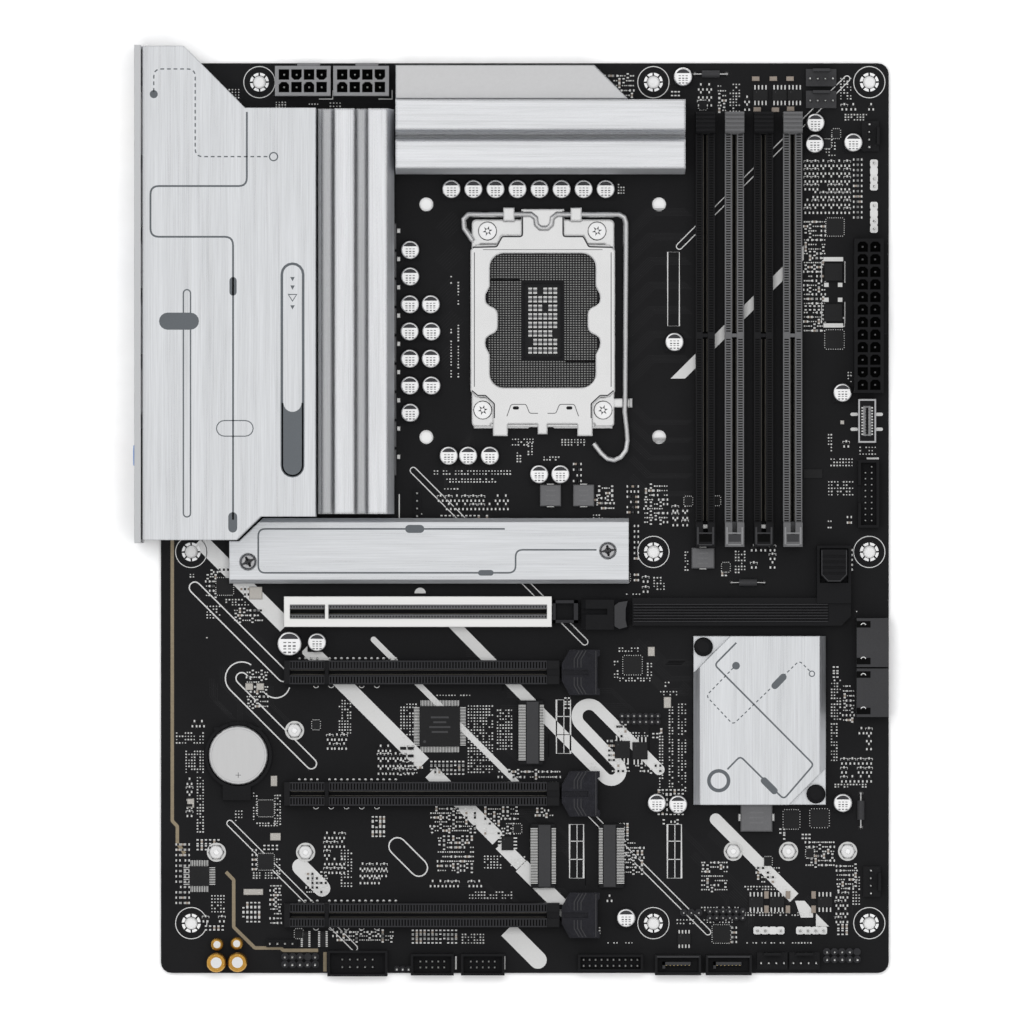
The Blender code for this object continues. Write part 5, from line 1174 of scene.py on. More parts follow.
def make_small_parts():
    """Rows of resistors, capacitors, test points and transistors between the larger parts."""
    picker = random.Random(23)
    pads = Piece("small_pads", slot="solder_tin")
    bodies = Piece("small_part_bodies", slot="chip_epoxy")
    frames = Piece("small_part_frames", slot="white_ink")

    def dot(x, y):
        size = picker.choice((0.18, 0.22, 0.26))
        look = picker.choice(("solder_tin", "pad_tin", "pad_tin"))
        pads.box(x - size, x + size, y - size * 0.9, y + size * 0.9, TOP, TOP + 0.1, look)

    def chip(x, y, upright):
        look = picker.choice(("chip_epoxy", "chip_epoxy", "ceramic_tan", "plastic_slate"))
        along, across = 0.62, 0.36
        for side in (-1, 1):
            cx, cy = (x, y + side * along) if upright else (x + side * along, y)
            w, h = (across, 0.24) if upright else (0.24, across)
            pads.box(cx - w, cx + w, cy - h, cy + h, TOP, TOP + 0.42, "solder_tin")
        w, h = (across - 0.02, along - 0.2) if upright else (along - 0.2, across - 0.02)
        bodies.box(x - w, x + w, y - h, y + h, TOP, TOP + 0.44, look)

    def leg(x, y):
        """A three-legged transistor."""
        bodies.block(x, y, 2.0, 0.95, TOP + 0.1, TOP + 1.0, "chip_epoxy", 0.1)
        for dx, dy in ((-0.7, -0.85), (0.7, -0.85), (0.0, 0.85)):
            pads.box(x + dx - 0.26, x + dx + 0.26, y + dy - 0.38, y + dy + 0.38, TOP, TOP + 0.3, "solder_tin")
        if picker.random() < 0.5:
            frames.ribbon([(x - 1.15, y + 0.2), (x - 1.15, y + 0.85), (x - 0.45, y + 0.85)], 0.16, SILK_LOW,
                          SILK_TOP,
                          "silk_white")
            frames.ribbon([(x + 0.45, y + 0.85), (x + 1.15, y + 0.85), (x + 1.15, y + 0.2)], 0.16, SILK_LOW,
                          SILK_TOP,
                          "silk_white")

    for x0, x1, y0, y1, kind in SMALL_PARTS:
        step_x, step_y = {"dots": (1.0, 1.0), "chips": (1.35, 1.75), "legs": (2.7, 2.75),
                          "mixed": (1.5, 1.55)}[kind]
        columns = max(1, int((x1 - x0) / step_x + 0.5))
        rows = max(1, int((y1 - y0) / step_y + 0.5))
        for row in range(rows):
            for column in range(columns):
                x = x0 + (column + 0.5) * (x1 - x0) / columns
                y = y0 + (row + 0.5) * (y1 - y0) / rows
                chance = picker.random()
                if kind == "dots" and chance < 0.78:
                    dot(x, y)
                elif kind == "chips" and chance < 0.9:
                    chip(x, y, upright=columns >= rows)
                elif kind == "legs" and chance < 0.92:
                    leg(x, y)
                elif kind == "mixed":
                    if chance < 0.45:
                        dot(x - 0.35, y)
                        dot(x + 0.45, y)
                    elif chance < 0.9:
                        chip(x, y, upright=chance < 0.68)
    pads.build()
    bodies.build()
    frames.build()


# ---------------------------------------------------------------- headers


def make_pin_header(pins, x0, y0, columns, rows, pitch=2.54, base=2.0, height=8.4, lobed=False, missing=()):
    """Bare square pins in a low moulded strip."""
    half = pitch / 2
    if lobed:
        for column in range(columns):
            for row in range(rows):
                x, y = x0 + column * pitch, y0 + row * pitch
                pins.slab(arc(x, y, half * 1.02, 22.5, 382.5, 8)[:-1], TOP, TOP + base, "slot_rung")
    else:
        pins.box(x0 - half, x0 + (columns - 1) * pitch + half, y0 - half, y0 + (rows - 1) * pitch + half,
                 TOP, TOP + base, "plastic_black")
    for column in range(columns):
        for row in range(rows):
            if (column, row) in missing:
                continue
            x, y = x0 + column * pitch, y0 + row * pitch
            pin(pins, x, y, TOP + height)


def pin(pins, x, y, top, size=0.32, look="solder_tin", bottom=None):
    """A square pin with a bevelled tip."""
    low = TOP - 1.0 if bottom is None else bottom
    rings = []
    for half, z in ((size, low), (size, top - 0.3), (size * 0.55, top)):
        rings.append([(x - half, y - half, z), (x + half, y - half, z), (x + half, y + half, z),
                      (x - half, y + half, z)])
    pins.rings(rings, look)


def make_headers():
    """The pin headers, boxed headers and fan headers."""
    bare = Piece("pin_headers", slot="plastic_black")
    make_pin_header(bare, 41.6, 2.9, 5, 2, missing=((3, 1),), lobed=True)
    make_pin_header(bare, 36.6, 10.0, 4, 1)
    make_pin_header(bare, 79.1, 1.4, 3, 1, 2.0, lobed=True)
    make_pin_header(bare, 175.2, 20.3, 3, 1, 2.54, lobed=True)
    make_pin_header(bare, 184.0, 18.6, 6, 2, 2.2, lobed=True)
    make_pin_header(bare, 154.6, 84.2, 7, 2, 2.0, 1.6, 5.0, True)
    make_pin_header(bare, 223.2, 4.6, 5, 2, missing=((4, 1),), lobed=True)
    make_pin_header(bare, 85.9, 153.2, 1, 4, 2.54, 1.0, 7.0)
    bare.build()

    shrouds = Piece("boxed_headers", slot="plastic_black")
    for x0, x1, y0, y1, columns, rows, pitch in ((55.9, 76.0, -0.9, 7.7, 5, 2, 2.54),
                                                 (83.8, 98.2, -0.6, 6.6, 5, 2, 2.0),
                                                 (100.6, 115.2, -0.6, 6.6, 5, 2, 2.0),
                                                 (139.8, 161.6, 0.7, 6.4, 10, 2, 2.0)):
        wall = 0.8
        high = TOP + 8.6
        shrouds.box(x0, x1, y0, y0 + wall, TOP, high, "plastic_black")
        shrouds.box(x0, x1, y1 - wall, y1, TOP, high, "plastic_black")
        shrouds.box(x0, x0 + wall, y0 + wall, y1 - wall, TOP, high, "plastic_black")
        shrouds.box(x1 - wall, x1, y0 + wall, y1 - wall, TOP, high, "plastic_black")
        shrouds.box(x0 + wall, x1 - wall, y0 + wall, y1 - wall, TOP, TOP + 1.6, "plastic_black")
        first_x = (x0 + x1) / 2 - pitch * (columns - 1) / 2
        first_y = (y0 + y1) / 2 - pitch * (rows - 1) / 2
        for column in range(columns):
            for row in range(rows):
                pin(shrouds, first_x + column * pitch, first_y + row * pitch, TOP + 7.0, 0.26)
    shrouds.build()

    fans = Piece("fan_headers", slot="plastic_black")
    for x0, y0, upright in ((216.2, 297.2, False), (216.2, 289.9, False), (234.9, 275.4, True),
                            (199.8, 1.2, False),
                            (210.6, 1.2, False), (235.4, 25.6, True)):
        length, depth = 10.2, 5.8
        shell = "plastic_slate" if y0 > 280 else "plastic_dark"
        if upright:
            fans.box(x0, x0 + depth, y0, y0 + length, TOP, TOP + 3.4, shell)
            fans.box(x0 + depth - 0.9, x0 + depth, y0 + 2.2, y0 + length - 2.2, TOP, TOP + 10.6, shell)
            for i in range(4):
                pin(fans, x0 + 2.4, y0 + 1.3 + 2.54 * i, TOP + 9.8, 0.3)
        else:
            fans.box(x0, x0 + length, y0, y0 + depth, TOP, TOP + 3.4, shell)
            fans.box(x0 + 2.2, x0 + length - 2.2, y0 + depth - 0.9, y0 + depth, TOP, TOP + 10.6, shell)
            for i in range(4):
                pin(fans, x0 + 1.3 + 2.54 * i, y0 + 2.4, TOP + 9.8, 0.3)
    fans.build()

    white = Piece("light_strip_headers", slot="white_ink")
    for x, y, upright, missing in ((239.0, 263.6, True, 2), (239.0, 249.4, True, 2), (199.9, 14.3, False, 2),
                                   (214.2, 14.3, False, None)):
        pitch = 2.6
        for i in range(4):
            cx, cy = (x, y + pitch * i) if upright else (x + pitch * i, y)
            lobe = [(1.28, -0.85), (1.28, 0.85), (0.85, 1.28), (-0.85, 1.28), (-1.28, 0.85), (-1.28, -0.85),
                    (-0.85, -1.28), (0.85, -1.28)]
            white.slab([(cx + dx, cy + dy) for dx, dy in lobe], TOP, TOP + 2.4, "plastic_white")
            if i != missing:
                pin(white, cx, cy, TOP + 8.2, 0.3)
        if not upright:
            white.box(x, x + pitch * 3, y - 1.1, y + 1.1, TOP, TOP + 2.3, "plastic_white")
        else:
            white.box(x - 1.1, x + 1.1, y, y + pitch * 3, TOP, TOP + 2.3, "plastic_white")
    white.build()


def make_front_panel_details():
    """Pins, contacts and springs inside the upright front-panel connectors."""
    inside = Piece("front_connector_contacts", slot="solder_tin")
    x0, x1, y0, y1, _, high = node_box("usb3_header")
    for row in range(10):
        for column in (0, 1):
            if row == 9 and column == 0:
                continue
            pin(inside, (x0 + x1) / 2 + (column - 0.5) * 2.1, y0 + 2.4 + 2.0 * row, high - 1.6, 0.26)
    x0, x1, y0, y1, _, high = node_box("usb_c_header")
    middle = (x0 + x1) / 2
    inside.box(middle - 0.45, middle + 0.45, y0 + 2.9, y1 - 2.9, high - 5.0, high - 0.6, "plastic_black")
    for a, b, c, d in ((x0 + 0.55, x0 + 1.6, y0 + 0.6, y1 - 0.6), (x1 - 1.6, x1 - 0.55, y0 + 0.6, y1 - 0.6),
                       (x0 + 1.6, x1 - 1.6, y0 + 0.6, y0 + 2.3), (x0 + 1.6, x1 - 1.6, y1 - 2.3, y1 - 0.6)):
        inside.box(a, b, c, d, high - 0.1, high + 0.08, "plastic_black")
    for i in range(10):
        y = y0 + 2.9 + 0.98 * i
        for side in (-1, 1):
            cx = middle + side * 1.62
            inside.box(cx - 0.3, cx + 0.3, y - 0.22, y + 0.22, high + 0.04, high + 0.12, "solder_tin")
    for i in range(9):
        y = y0 + 3.3 + i
        for side in (-1, 1):
            inside.box(middle + side * 0.46 - 0.08, middle + side * 0.46 + 0.08, y - 0.2, y + 0.2, high - 4.6,
                       high - 0.8, "solder_tin")
    for y in (y0 + 4.6, y0 + 9.6):
        for side in (-1, 1):
            cx = middle + side * 4.2
            inside.slab(pill(cx - 0.7, y, cx + 0.7, y, 0.55), TOP, TOP + 0.3, "solder_tin")
    inside.build()


# ---------------------------------------------------------------- slots


def make_ladder(piece, low, high, side0, side1, z0, z1, pitch, gap, look, upright):
    """A row of contact windows: two rails with a rung between each pair of windows."""
    rail = 0.42
    cells = int(round((high - low) / pitch))
    step = (high - low) / cells

    def bar(a0, a1, b0, b1, top=z1):
        if upright:
            piece.box(b0, b1, a0, a1, z0, top, look)
        else:
            piece.box(a0, a1, b0, b1, z0, top, look)

    bar(low, high, side0, side0 + rail)
    bar(low, high, side1 - rail, side1)
    for cell in range(cells + 1):
        middle = low + cell * step
        a0 = max(low, middle - (step - gap) / 2)
        a1 = min(high, middle + (step - gap) / 2)
        bar(a0, a1, side0 + rail, side1 - rail, z1 - 0.08)
    # The window floors are near-black painted shade.
    floor_top = z0 + 0.12
    if upright:
        piece.box(side0 + rail, side1 - rail, low, high, z0 - 0.02, floor_top, "painted_shade_black")
    else:
        piece.box(low, high, side0 + rail, side1 - rail, z0 - 0.02, floor_top, "painted_shade_black")


def make_memory_details():
    """Contacts, channels and end towers of the memory slots."""
    for index in range(4):
        x0, x1, y0, y1, _, _ = node_box(f"dimm_slot_{index + 1}")
        grey = index % 2 == 1
        look = "plastic_grey" if grey else "plastic_dark"
        middle = (x0 + x1) / 2
        base = SEAT + 8.4
        rows = Piece(f"dimm_contacts_{index + 1}", slot="plastic_grey" if grey else "plastic_dark")
        key = 213.7
        for side in (-1, 1):
            outer, inner = middle + side * 3.2, middle + side * 0.85
            a, b = sorted((outer, inner))
            for low, high in ((y0 + 8.3, key - 1.0), (key + 1.0, y1 - 7.2)):
                make_ladder(rows, low, high, a, b, base, base + 0.55, 0.85, 0.42, look, True)
            rows.box(a, b, key - 1.0, key + 1.0, base, base + 0.55, look)
        rows.box(middle - 0.8, middle + 0.8, key - 0.55, key + 0.55, base - 2.0, base + 0.4, look)
        # The contacts deep in the channel are darkened as painted shade.
        for side in (-1, 1):
            for low, high in ((y0 + 8.6, key - 1.2), (key + 1.2, y1 - 7.6)):
                x = middle + side * 0.62
                rows.box(x - 0.1, x + 0.1, low, high, base - 5.2, base - 3.2, "contact_painted_shade")
                # Thin near-black strips along the channel walls are painted shade.
                shade_strip = middle + side * 0.76
                rows.box(shade_strip - 0.05, shade_strip + 0.05, low, high, base - 3.0, base - 0.2, "painted_shade_black")
        # The channel floor is near-black painted shade.
        for low, high in ((y0 + 8.4, key - 0.7), (key + 0.7, y1 - 7.4)):
            rows.box(middle - 0.78, middle + 0.78, low, high, SEAT + 2.38, SEAT + 2.5, "painted_shade_black")
        cx, top = middle, SEAT + 16.5
        rim = "plastic_pale" if grey else "plastic_slate"
        # The box in the middle of the tower top is painted shade, darker than the slot.
        rows.box(cx - 2.0, cx + 2.0, y0 + 1.7, y0 + 4.2, top - 0.02, top + 0.2,
                 "plastic_slate" if grey else "painted_shade_black")
        for side in (-1, 1):
            rows.box(cx + side * 2.55 - 0.3, cx + side * 2.55 + 0.3, y0 + 0.8, y0 + 6.6, top - 0.02,
                     top + 0.25, rim)
        rows.box(cx - 2.2, cx + 2.2, y0 + 4.4, y0 + 4.8, top - 0.02, top + 0.3, rim)
        rows.box(cx - 2.2, cx + 2.2, y0 + 0.5, y0 + 0.9, top - 0.02, top + 0.3, rim)
        if not grey:
            rows.box(cx - 0.7, cx + 0.7, y0 + 6.2, y0 + 7.4, base - 1.0, base + 1.4, "solder_tin")
        rows.build()


def make_expansion_details():
    """Contacts and channels of the expansion slots."""
    for index in range(4):
        _, _, y0, y1, _, _ = node_box(f"pcie_slot_{index + 1}")
        middle = (y0 + y1) / 2
        rows = Piece(f"pcie_contacts_{index + 1}", slot="plastic_dark")
        if index == 0:
            top = SEAT + 10.6
            reach, inner = 2.32, 0.95
            rung = "ferrite"
        else:
            top = SEAT + 11.2
            reach, inner = 3.95, 0.98
            rung = "slot_rung"
        for side in (-1, 1):
            a, b = sorted((middle + side * reach, middle + side * inner))
            for low, high in ((43.3, 54.9), (56.5, 129.4)):
                make_ladder(rows, low, high, a, b, top, top + 0.45, 1.0, 0.5, rung, False)
        # The contacts deep in the slot are darkened as painted shade.
        for side in (-1, 1):
            y = middle + side * 0.7
            for low, high in ((43.6, 54.9), (56.5, 129.2)):
                rows.box(low, high, y - 0.08, y + 0.08, top - 6.4, top - 4.6, "contact_painted_shade")
        if index:
            rows.box(129.6, 133.4, middle - 3.9, middle - 1.2, top, top + 0.45, "plastic_dark")
            rows.box(129.6, 133.4, middle + 1.2, middle + 3.9, top, top + 0.45, "plastic_dark")
            rows.box(41.5, 43.2, middle - 3.9, middle + 3.9, top, top + 0.45, "plastic_dark")
        rows.build()
    dots = Piece("slot_solder_points", slot="solder_tin")
    for index in range(1, 4):
        y = node_box(f"pcie_slot_{index + 1}")[3] + 0.55
        for x in [46.4 + 2.02 * i for i in range(17)]:
            if abs(x - 54.6) > 1.2:
                dots.lathe(x, y, [(0.52, TOP), (0.45, TOP + 0.2), (0.2, TOP + 0.3)], "solder_tin", 12)
        y = node_box(f"pcie_slot_{index + 1}")[2] - 0.35
        for x in [52.0 + 5.1 * i for i in range(5)]:
            dots.ribbon(arc(x, y, 0.9, 200, 340, 6), 0.25, TOP, TOP + 0.06, "silk_white")
    dots.build()


def make_latch_details():
    """Grip ribs on the winged latches, coloured lighter than the latch as painted highlight, and the guard at
    the end of the first slot.
    """
    for index in (2, 3, 4):
        x0, x1, y0, y1, _, high = node_box(f"pcie_latch_{index}")
        middle = (y0 + y1) / 2
        ribs = Piece(f"latch_ribs_painted_highlight_{index}", body=f"pcie_latch_{index}", slot="plastic_dark")
        for side in (-1, 1):
            for i in range(3):
                x = x0 + 4.2 + 1.15 * i
                path = [(x, middle + side * 1.6), (x, middle + side * 4.4), (x + 1.7, middle + side * 7.3)]
                ribs.ribbon(path, 0.3, high - 0.02, high + 0.22, "plastic_slate")
            ribs.ribbon([(x0 + 1.0, middle + side * 3.2), (x0 + 3.2, middle + side * 7.3)], 0.4, high - 0.02,
                        high + 0.3, "latch_smoke")
        ribs.box(x1 - 1.5, x1 - 1.2, middle - 7.2, middle + 7.2, high - 0.02, high + 0.25, "plastic_slate")
        ribs.build()
    # The release track's ribs are coloured lighter than the track as painted highlight.
    track = Piece("release_track_ribs_painted_highlight", slot="plastic_black")
    x0, x1, y0, y1, _, high = node_box("release_track")
    for i in range(7):
        y = 117.93 + 0.95 * i
        track.box(x0 + 0.4, 223.4, y - 0.09, y + 0.09, high - 0.02, high + 0.05, "plastic_slate")
    track.build()
    x0, x1, y0, y1, _, high = node_box("release_button")
    rim = Piece("release_button_rim", body="release_button", slot="plastic_black")
    rim.ribbon([(x0 + 0.3, y1 - 0.3), (x0 + 0.3, y0 + 2.5), (x0 + 2.4, y0 + 0.3), (x1 - 2.4, y0 + 0.3),
                (x1 - 0.3, y0 + 2.5), (x1 - 0.3, y1 - 0.3)], 0.28, high - 0.6, high + 0.04, "plastic_slate")
    rim.build()
    guard = Piece("slot_guard", slot="plastic_dark")
    y0, y1 = 117.4, 125.0
    for a0, a1, b0, b1 in ((131.3, 139.8, y0, y0 + 1.0), (131.3, 139.8, y1 - 1.0, y1), (138.4, 139.8, y0, y1),
                           (131.3, 132.3, y0, y1)):
        guard.box(a0, a1, b0, b1, TOP, SEAT + 8.0, "slot_rung")
    guard.box(132.3, 138.4, y0 + 1.0, y1 - 1.0, TOP, SEAT + 3.0, "plastic_black")
    guard.build()
    x0, x1, y0, y1, _, high = node_box("pcie_latch_1")
    lock = Piece("slot_lock_cap", body="slot_lock", slot="plastic_grey")
    lock.slab([(x1 - 4.6, y0 + 1.2), (x1 - 3.0, y0 + 0.2), (x1 - 0.4, y0 + 0.9), (x1 - 0.9, y0 + 3.2),
               (x1 - 0.9, y1 - 3.2), (x1 - 0.2, y1 - 0.4), (x1 - 3.2, y1 - 0.9), (x1 - 4.6, y1 - 2.0)],
              high - 0.4, high + 0.5, "plastic_slate")
    lock.build()


# ---------------------------------------------------------------- connectors


POWER_PITCH = 4.2
# name, columns, rows
POWER_SOCKETS = (("eps_power_connector_1", 4, 2), ("eps_power_connector_2", 4, 2),
                 ("atx_power_connector", 2, 12))


def make_power_contacts():
    """Tin pins in the power sockets, with near-black painted shade on the cell walls and floors, and the
    corner fillers that key half of the cells.
    """
    contacts = Piece("power_contacts", slot="solder_tin")
    pitch = POWER_PITCH
    for name, columns, rows in POWER_SOCKETS:
        x0, x1, y0, y1, _, high = node_box(name)
        if columns == 4:
            cx, cy = (x0 + x1) / 2, y0 + 5.0
            shell = "plastic_pale"
        else:
            cx, cy = x0 + 4.95, (y0 + y1) / 2
            shell = "plastic_black"
        for column in range(columns):
            for row in range(rows):
                x = cx + (column - (columns - 1) / 2) * pitch
                y = cy + (row - (rows - 1) / 2) * pitch
                # Each cell's floor and walls are near-black painted shade.
                contacts.box(x - 1.74, x + 1.74, y - 1.74, y + 1.74, high - 9.6, high - 9.0, "painted_shade_black")
                # The black socket's pins are painted dark grey as shade deep in its cells.
                pin(contacts, x, y, high - 2.6, 0.3,
                    "solder_tin" if columns == 4 else "can_print", high - 9.3)
                wall = 0.16
                for sx in (-1, 1):
                    a, b = sorted((x + sx * 1.74, x + sx * (1.74 - wall)))
                    contacts.box(a, b, y - 1.74, y + 1.74, high - 9.3, high - 0.35, "painted_shade_black")
                for sy in (-1, 1):
                    a, b = sorted((y + sy * 1.74, y + sy * (1.74 - wall)))
                    contacts.box(x - 1.58, x + 1.58, a, b, high - 9.3, high - 0.35, "painted_shade_black")
                if (column + row) % 2 == 0 or columns == 2:
                    side = 1 if row == 1 else -1
                    for sx in (-1, 1):
                        corner = [(x + sx * 1.74, y - side * 1.74), (x + sx * 1.74, y - side * 0.8),
                                  (x + sx * 0.8, y - side * 1.74)]
                        if sx * side > 0:
                            corner.reverse()
                        contacts.slab(corner[::-1] if side > 0 else corner, high - 9.0, high - 0.02, shell)
    contacts.build()


def make_drive_sockets():
    """Spring contacts and lids of the drive card sockets, and tongues of the data ports."""
    contacts = Piece("drive_socket_contacts", slot="solder_tin")
    for index in range(4):
        x0, x1, y0, y1, _, high = node_box(f"m2_socket_{index + 1}")
        opens_left = index < 3
        count = 36
        for i in range(count):
            y = y0 + 1.6 + (y1 - y0 - 3.2) * i / (count - 1)
            ends = ((x0 - 0.1, x0 + 2.3), (x1 - 1.2, x1 + 0.2)) if opens_left else ((x0 - 0.2, x0 + 1.1),
                                                                                    (x1 - 2.4, x1 + 0.1))
            for a, b in ends:
                contacts.box(a, b, y - 0.13, y + 0.13, high - 0.1, high + 0.12, "pad_tin")
        lid = (x0 + 2.6, x1 - 1.6) if opens_left else (x0 + 1.4, x1 - 2.8)
        contacts.box(lid[0], lid[1], y0 + 0.4, y1 - 0.4, high - 0.1, high + 0.5, "plastic_slate")
        for y in (y0 + 0.5, y1 - 0.5):
            contacts.box(x0 + 0.2, x1 - 0.2, y - 0.4, y + 0.4, high - 0.1, high + 0.3, "plastic_dark")
    for index in (1, 2):
        x0, x1, y0, y1, _, high = node_box(f"sata_stack_{index}")
        middle = (y0 + y1) / 2
        for z in (SEAT + 3.9, SEAT + 10.7):
            contacts.box(x1 - 7.0, x1 - 0.6, middle - 5.2, middle + 4.2, z - 0.5, z + 0.5, "plastic_black")
            for i in range(7):
                contacts.box(x1 - 6.4, x1 - 0.9, middle - 4.4 + 1.27 * i, middle - 3.9 + 1.27 * i, z + 0.48,
                             z + 0.56,
                             "pin_gold")
        for y in (y0 + 2.0, y1 - 2.0):
            # Near-black patches on the stack's top are painted shade.
            contacts.box(x0 - 0.05, x0 + 4.6, y - 1.1, y + 1.1, high - 0.05, high + 0.06, "painted_shade_black")
            side = 1 if y > middle else -1
            contacts.ribbon(arc(x0 + 2.2, y - side * 0.5, 0.85, 20, 160, 8), 0.28, high, high + 0.14,
                            "silk_white")
    for index in (1, 2):
        x0, x1, y0, y1, _, high = node_box(f"sata_port_{index}")
        cx, cy = (x0 + x1) / 2, (y0 + y1) / 2
        contacts.box(cx - 5.2, cx + 4.2, cy - 0.1, cy + 1.0, high - 6.9, high - 0.8, "plastic_slate")
        contacts.box(cx - 5.2, cx - 4.3, cy - 1.2, cy + 1.0, high - 6.9, high - 0.8, "plastic_slate")
        for i in range(7):
            x = cx - 3.9 + 1.27 * i
            contacts.box(x - 0.2, x + 0.2, cy - 0.2, cy - 0.06, high - 6.4, high - 1.2, "pin_gold")
        contacts.box(x0 + 0.6, x1 - 0.6, y1 - 0.9, y1 - 0.4, high - 0.02, high + 0.2, "plastic_slate")
    contacts.build()


def make_socket_details():
    """Contact field, dividing walls and middle capacitors of the processor socket."""
    cx, cy = 128.0, 218.7
    floor = SEAT + 1.9
    field = Piece("socket_contacts", slot="gold_plate")
    pitch_x, pitch_y = 0.94, 0.81
    for i in range(-19, 20):
        for j in range(-27, 28):
            x, y = cx + i * pitch_x, cy + j * pitch_y
            if abs(x - cx) < 7.4 and abs(y - cy) < 13.6:
                continue
            if abs(x - cx) > 18.0 or abs(y - cy) > 22.0:
                continue
            field.box(x - 0.27, x + 0.27, y - 0.18, y + 0.18, floor, floor + 0.35, "pin_tip")
    field.build()
    walls = Piece("socket_walls", slot="chip_epoxy")
    # The two near-black strips in the contact field are painted shade.
    walls.box(cx - 18.6, cx - 7.6, cy + 13.4, cy + 13.9, floor, floor + 0.9, "painted_shade_black")
    walls.box(cx + 7.6, cx + 18.6, cy - 13.9, cy - 13.4, floor, floor + 0.9, "painted_shade_black")
    for x0, x1, y0, y1 in ((cx - 7.2, cx + 7.2, cy + 12.5, cy + 13.2),
                           (cx - 7.2, cx + 7.2, cy - 13.2, cy - 12.5),
                           (cx - 7.2, cx - 6.3, cy - 12.5, cy + 12.5),
                           (cx + 6.3, cx + 7.2, cy - 12.5, cy + 12.5)):
        walls.box(x0, x1, y0, y1, floor, floor + 1.1, "plastic_black")
    picker = random.Random(5)
    base = SEAT + 0.7
    for column in range(6):
        for row in range(8):
            if picker.random() < 0.10:
                continue
            x = cx - 4.2 + 1.68 * column
            y = cy + 10.0 - 2.86 * row
            for side in (-1, 1):
                walls.box(x - 0.62, x + 0.62, y + side * 0.75 - 0.3, y + side * 0.75 + 0.3, base,
                          base + 0.6, "pad_tin")
            walls.box(x - 0.6, x + 0.6, y - 0.45, y + 0.45, base, base + 0.55, "ferrite")
    walls.build()
    clip = Piece("frame_spring", slot="nickel_plate")
    z = SEAT + 2.6
    for path in ([(104.9, 183.0), (123.0, 183.0), (124.6, 184.2)],
                 [(151.3, 183.0), (132.0, 183.0), (130.4, 184.2)]):
        clip.ribbon(path, 0.85, z, z + 0.8, "nickel_plate")
    clip.build()
    recess = Piece("frame_screw_heads_with_painted_recess_shade", slot="steel")
    for index in range(1, 5):
        x0, x1, y0, y1, _, high = node_box(f"ilm_screw_{index}")
        x, y = (x0 + x1) / 2, (y0 + y1) / 2
        recess.lathe(x, y, [(3.0, high - 0.5), (2.85, high + 0.02), (2.1, high + 0.14)], "can_top", 32)
        star = []
        for point in range(12):
            a = math.radians(30 * point + 12)
            reach = 1.75 if point % 2 == 0 else 0.7
            star.append((x + reach * math.cos(a), y + reach * math.sin(a)))
        # The dark star on each screw head is painted shade of its drive recess.
        recess.slab(star, high - 0.3, high + 0.16, "plastic_slate")
        recess.lathe(x, y, [(0.62, high - 0.1), (0.62, high + 0.2)], "can_top", 12)
    recess.build()
    x0, x1, y0, y1, _, level = node_box("load_plate")
    # Dark lines along the plate's bends and stamped rims are painted shade.
    marks = Piece("load_plate_painted_shade_lines", body="load_plate", slot="nickel_plate")
    low, high = level - 0.02, level + 0.02
    for x in (x0 + 1.3, x1 - 1.3):
        marks.ribbon([(x, 196.5), (x, 241.5)], 0.3, low, high, "ferrite")
    for x in (119.0, 136.9):
        marks.slab(pill(x - 0.5, 189.4, x + 0.5, 189.4, 0.55), low, high, "plastic_dark")
    arch = [(116.0, 186.6), (117.4, 190.6), (122.4, 190.6), (123.6, 187.6), (126.4, 187.6)]
    marks.ribbon(rounded(arch, 1.0), 0.28, low, high, "ferrite")
    marks.ribbon(rounded([(2 * cx - x, y) for x, y in arch], 1.0), 0.28, low, high, "ferrite")
    shoulder = rounded([(104.5, 243.2), (112.6, 243.4), (114.4, 246.8), (121.2, 246.8), (121.2, 255.4)], 1.0)
    marks.ribbon(shoulder, 0.5, low, high, "plastic_slate")
    marks.ribbon([(2 * cx - x, y) for x, y in shoulder], 0.5, low, high, "plastic_slate")
    foot = rounded([(104.3, 195.2), (106.2, 193.6), (108.8, 193.6), (111.8, 190.8), (111.8, 186.0)], 0.8)
    marks.ribbon(foot, 0.4, low, high, "plastic_slate")
    marks.ribbon([(2 * cx - x, y) for x, y in foot], 0.4, low, high, "plastic_slate")
    marks.ribbon([(108.0, 242.4), (148.0, 242.4)], 0.22, low, high, "ferrite")
    marks.build()


def make_battery_details():
    """The coin cell's face and its holder's clips."""
    x0, x1, y0, y1, _, high = node_box("battery")
    cx, cy = (x0 + x1) / 2, (y0 + y1) / 2
    cell = Piece("battery_face", body="battery", slot="cell_steel")
    cell.ribbon(circle(cx, cy, 8.9, 48), 0.12, high - 0.02, high + 0.02, "steel", True)
    cell.box(cx - 0.9, cx + 0.9, cy - 6.7, cy - 6.5, high - 0.02, high + 0.02, "can_print")
    cell.box(cx - 0.1, cx + 0.1, cy - 7.5, cy - 5.7, high - 0.02, high + 0.02, "can_print")
    cell.build()
    clip = Piece("battery_clip", slot="nickel_plate")
    clip.box(cx - 2.3, cx + 2.3, cy - 11.6, cy - 10.35, TOP, high - 0.6, "nickel_plate")
    clip.box(cx - 2.6, cx + 2.6, cy - 12.2, cy - 11.2, high - 0.9, high - 0.4, "nickel_plate")
    for side in (-1, 1):
        clip.box(cx + side * 7.2 - 0.9, cx + side * 7.2 + 0.9, cy + 8.4, cy + 9.4, high - 0.4, high,
                 "plastic_black")
    clip.build()


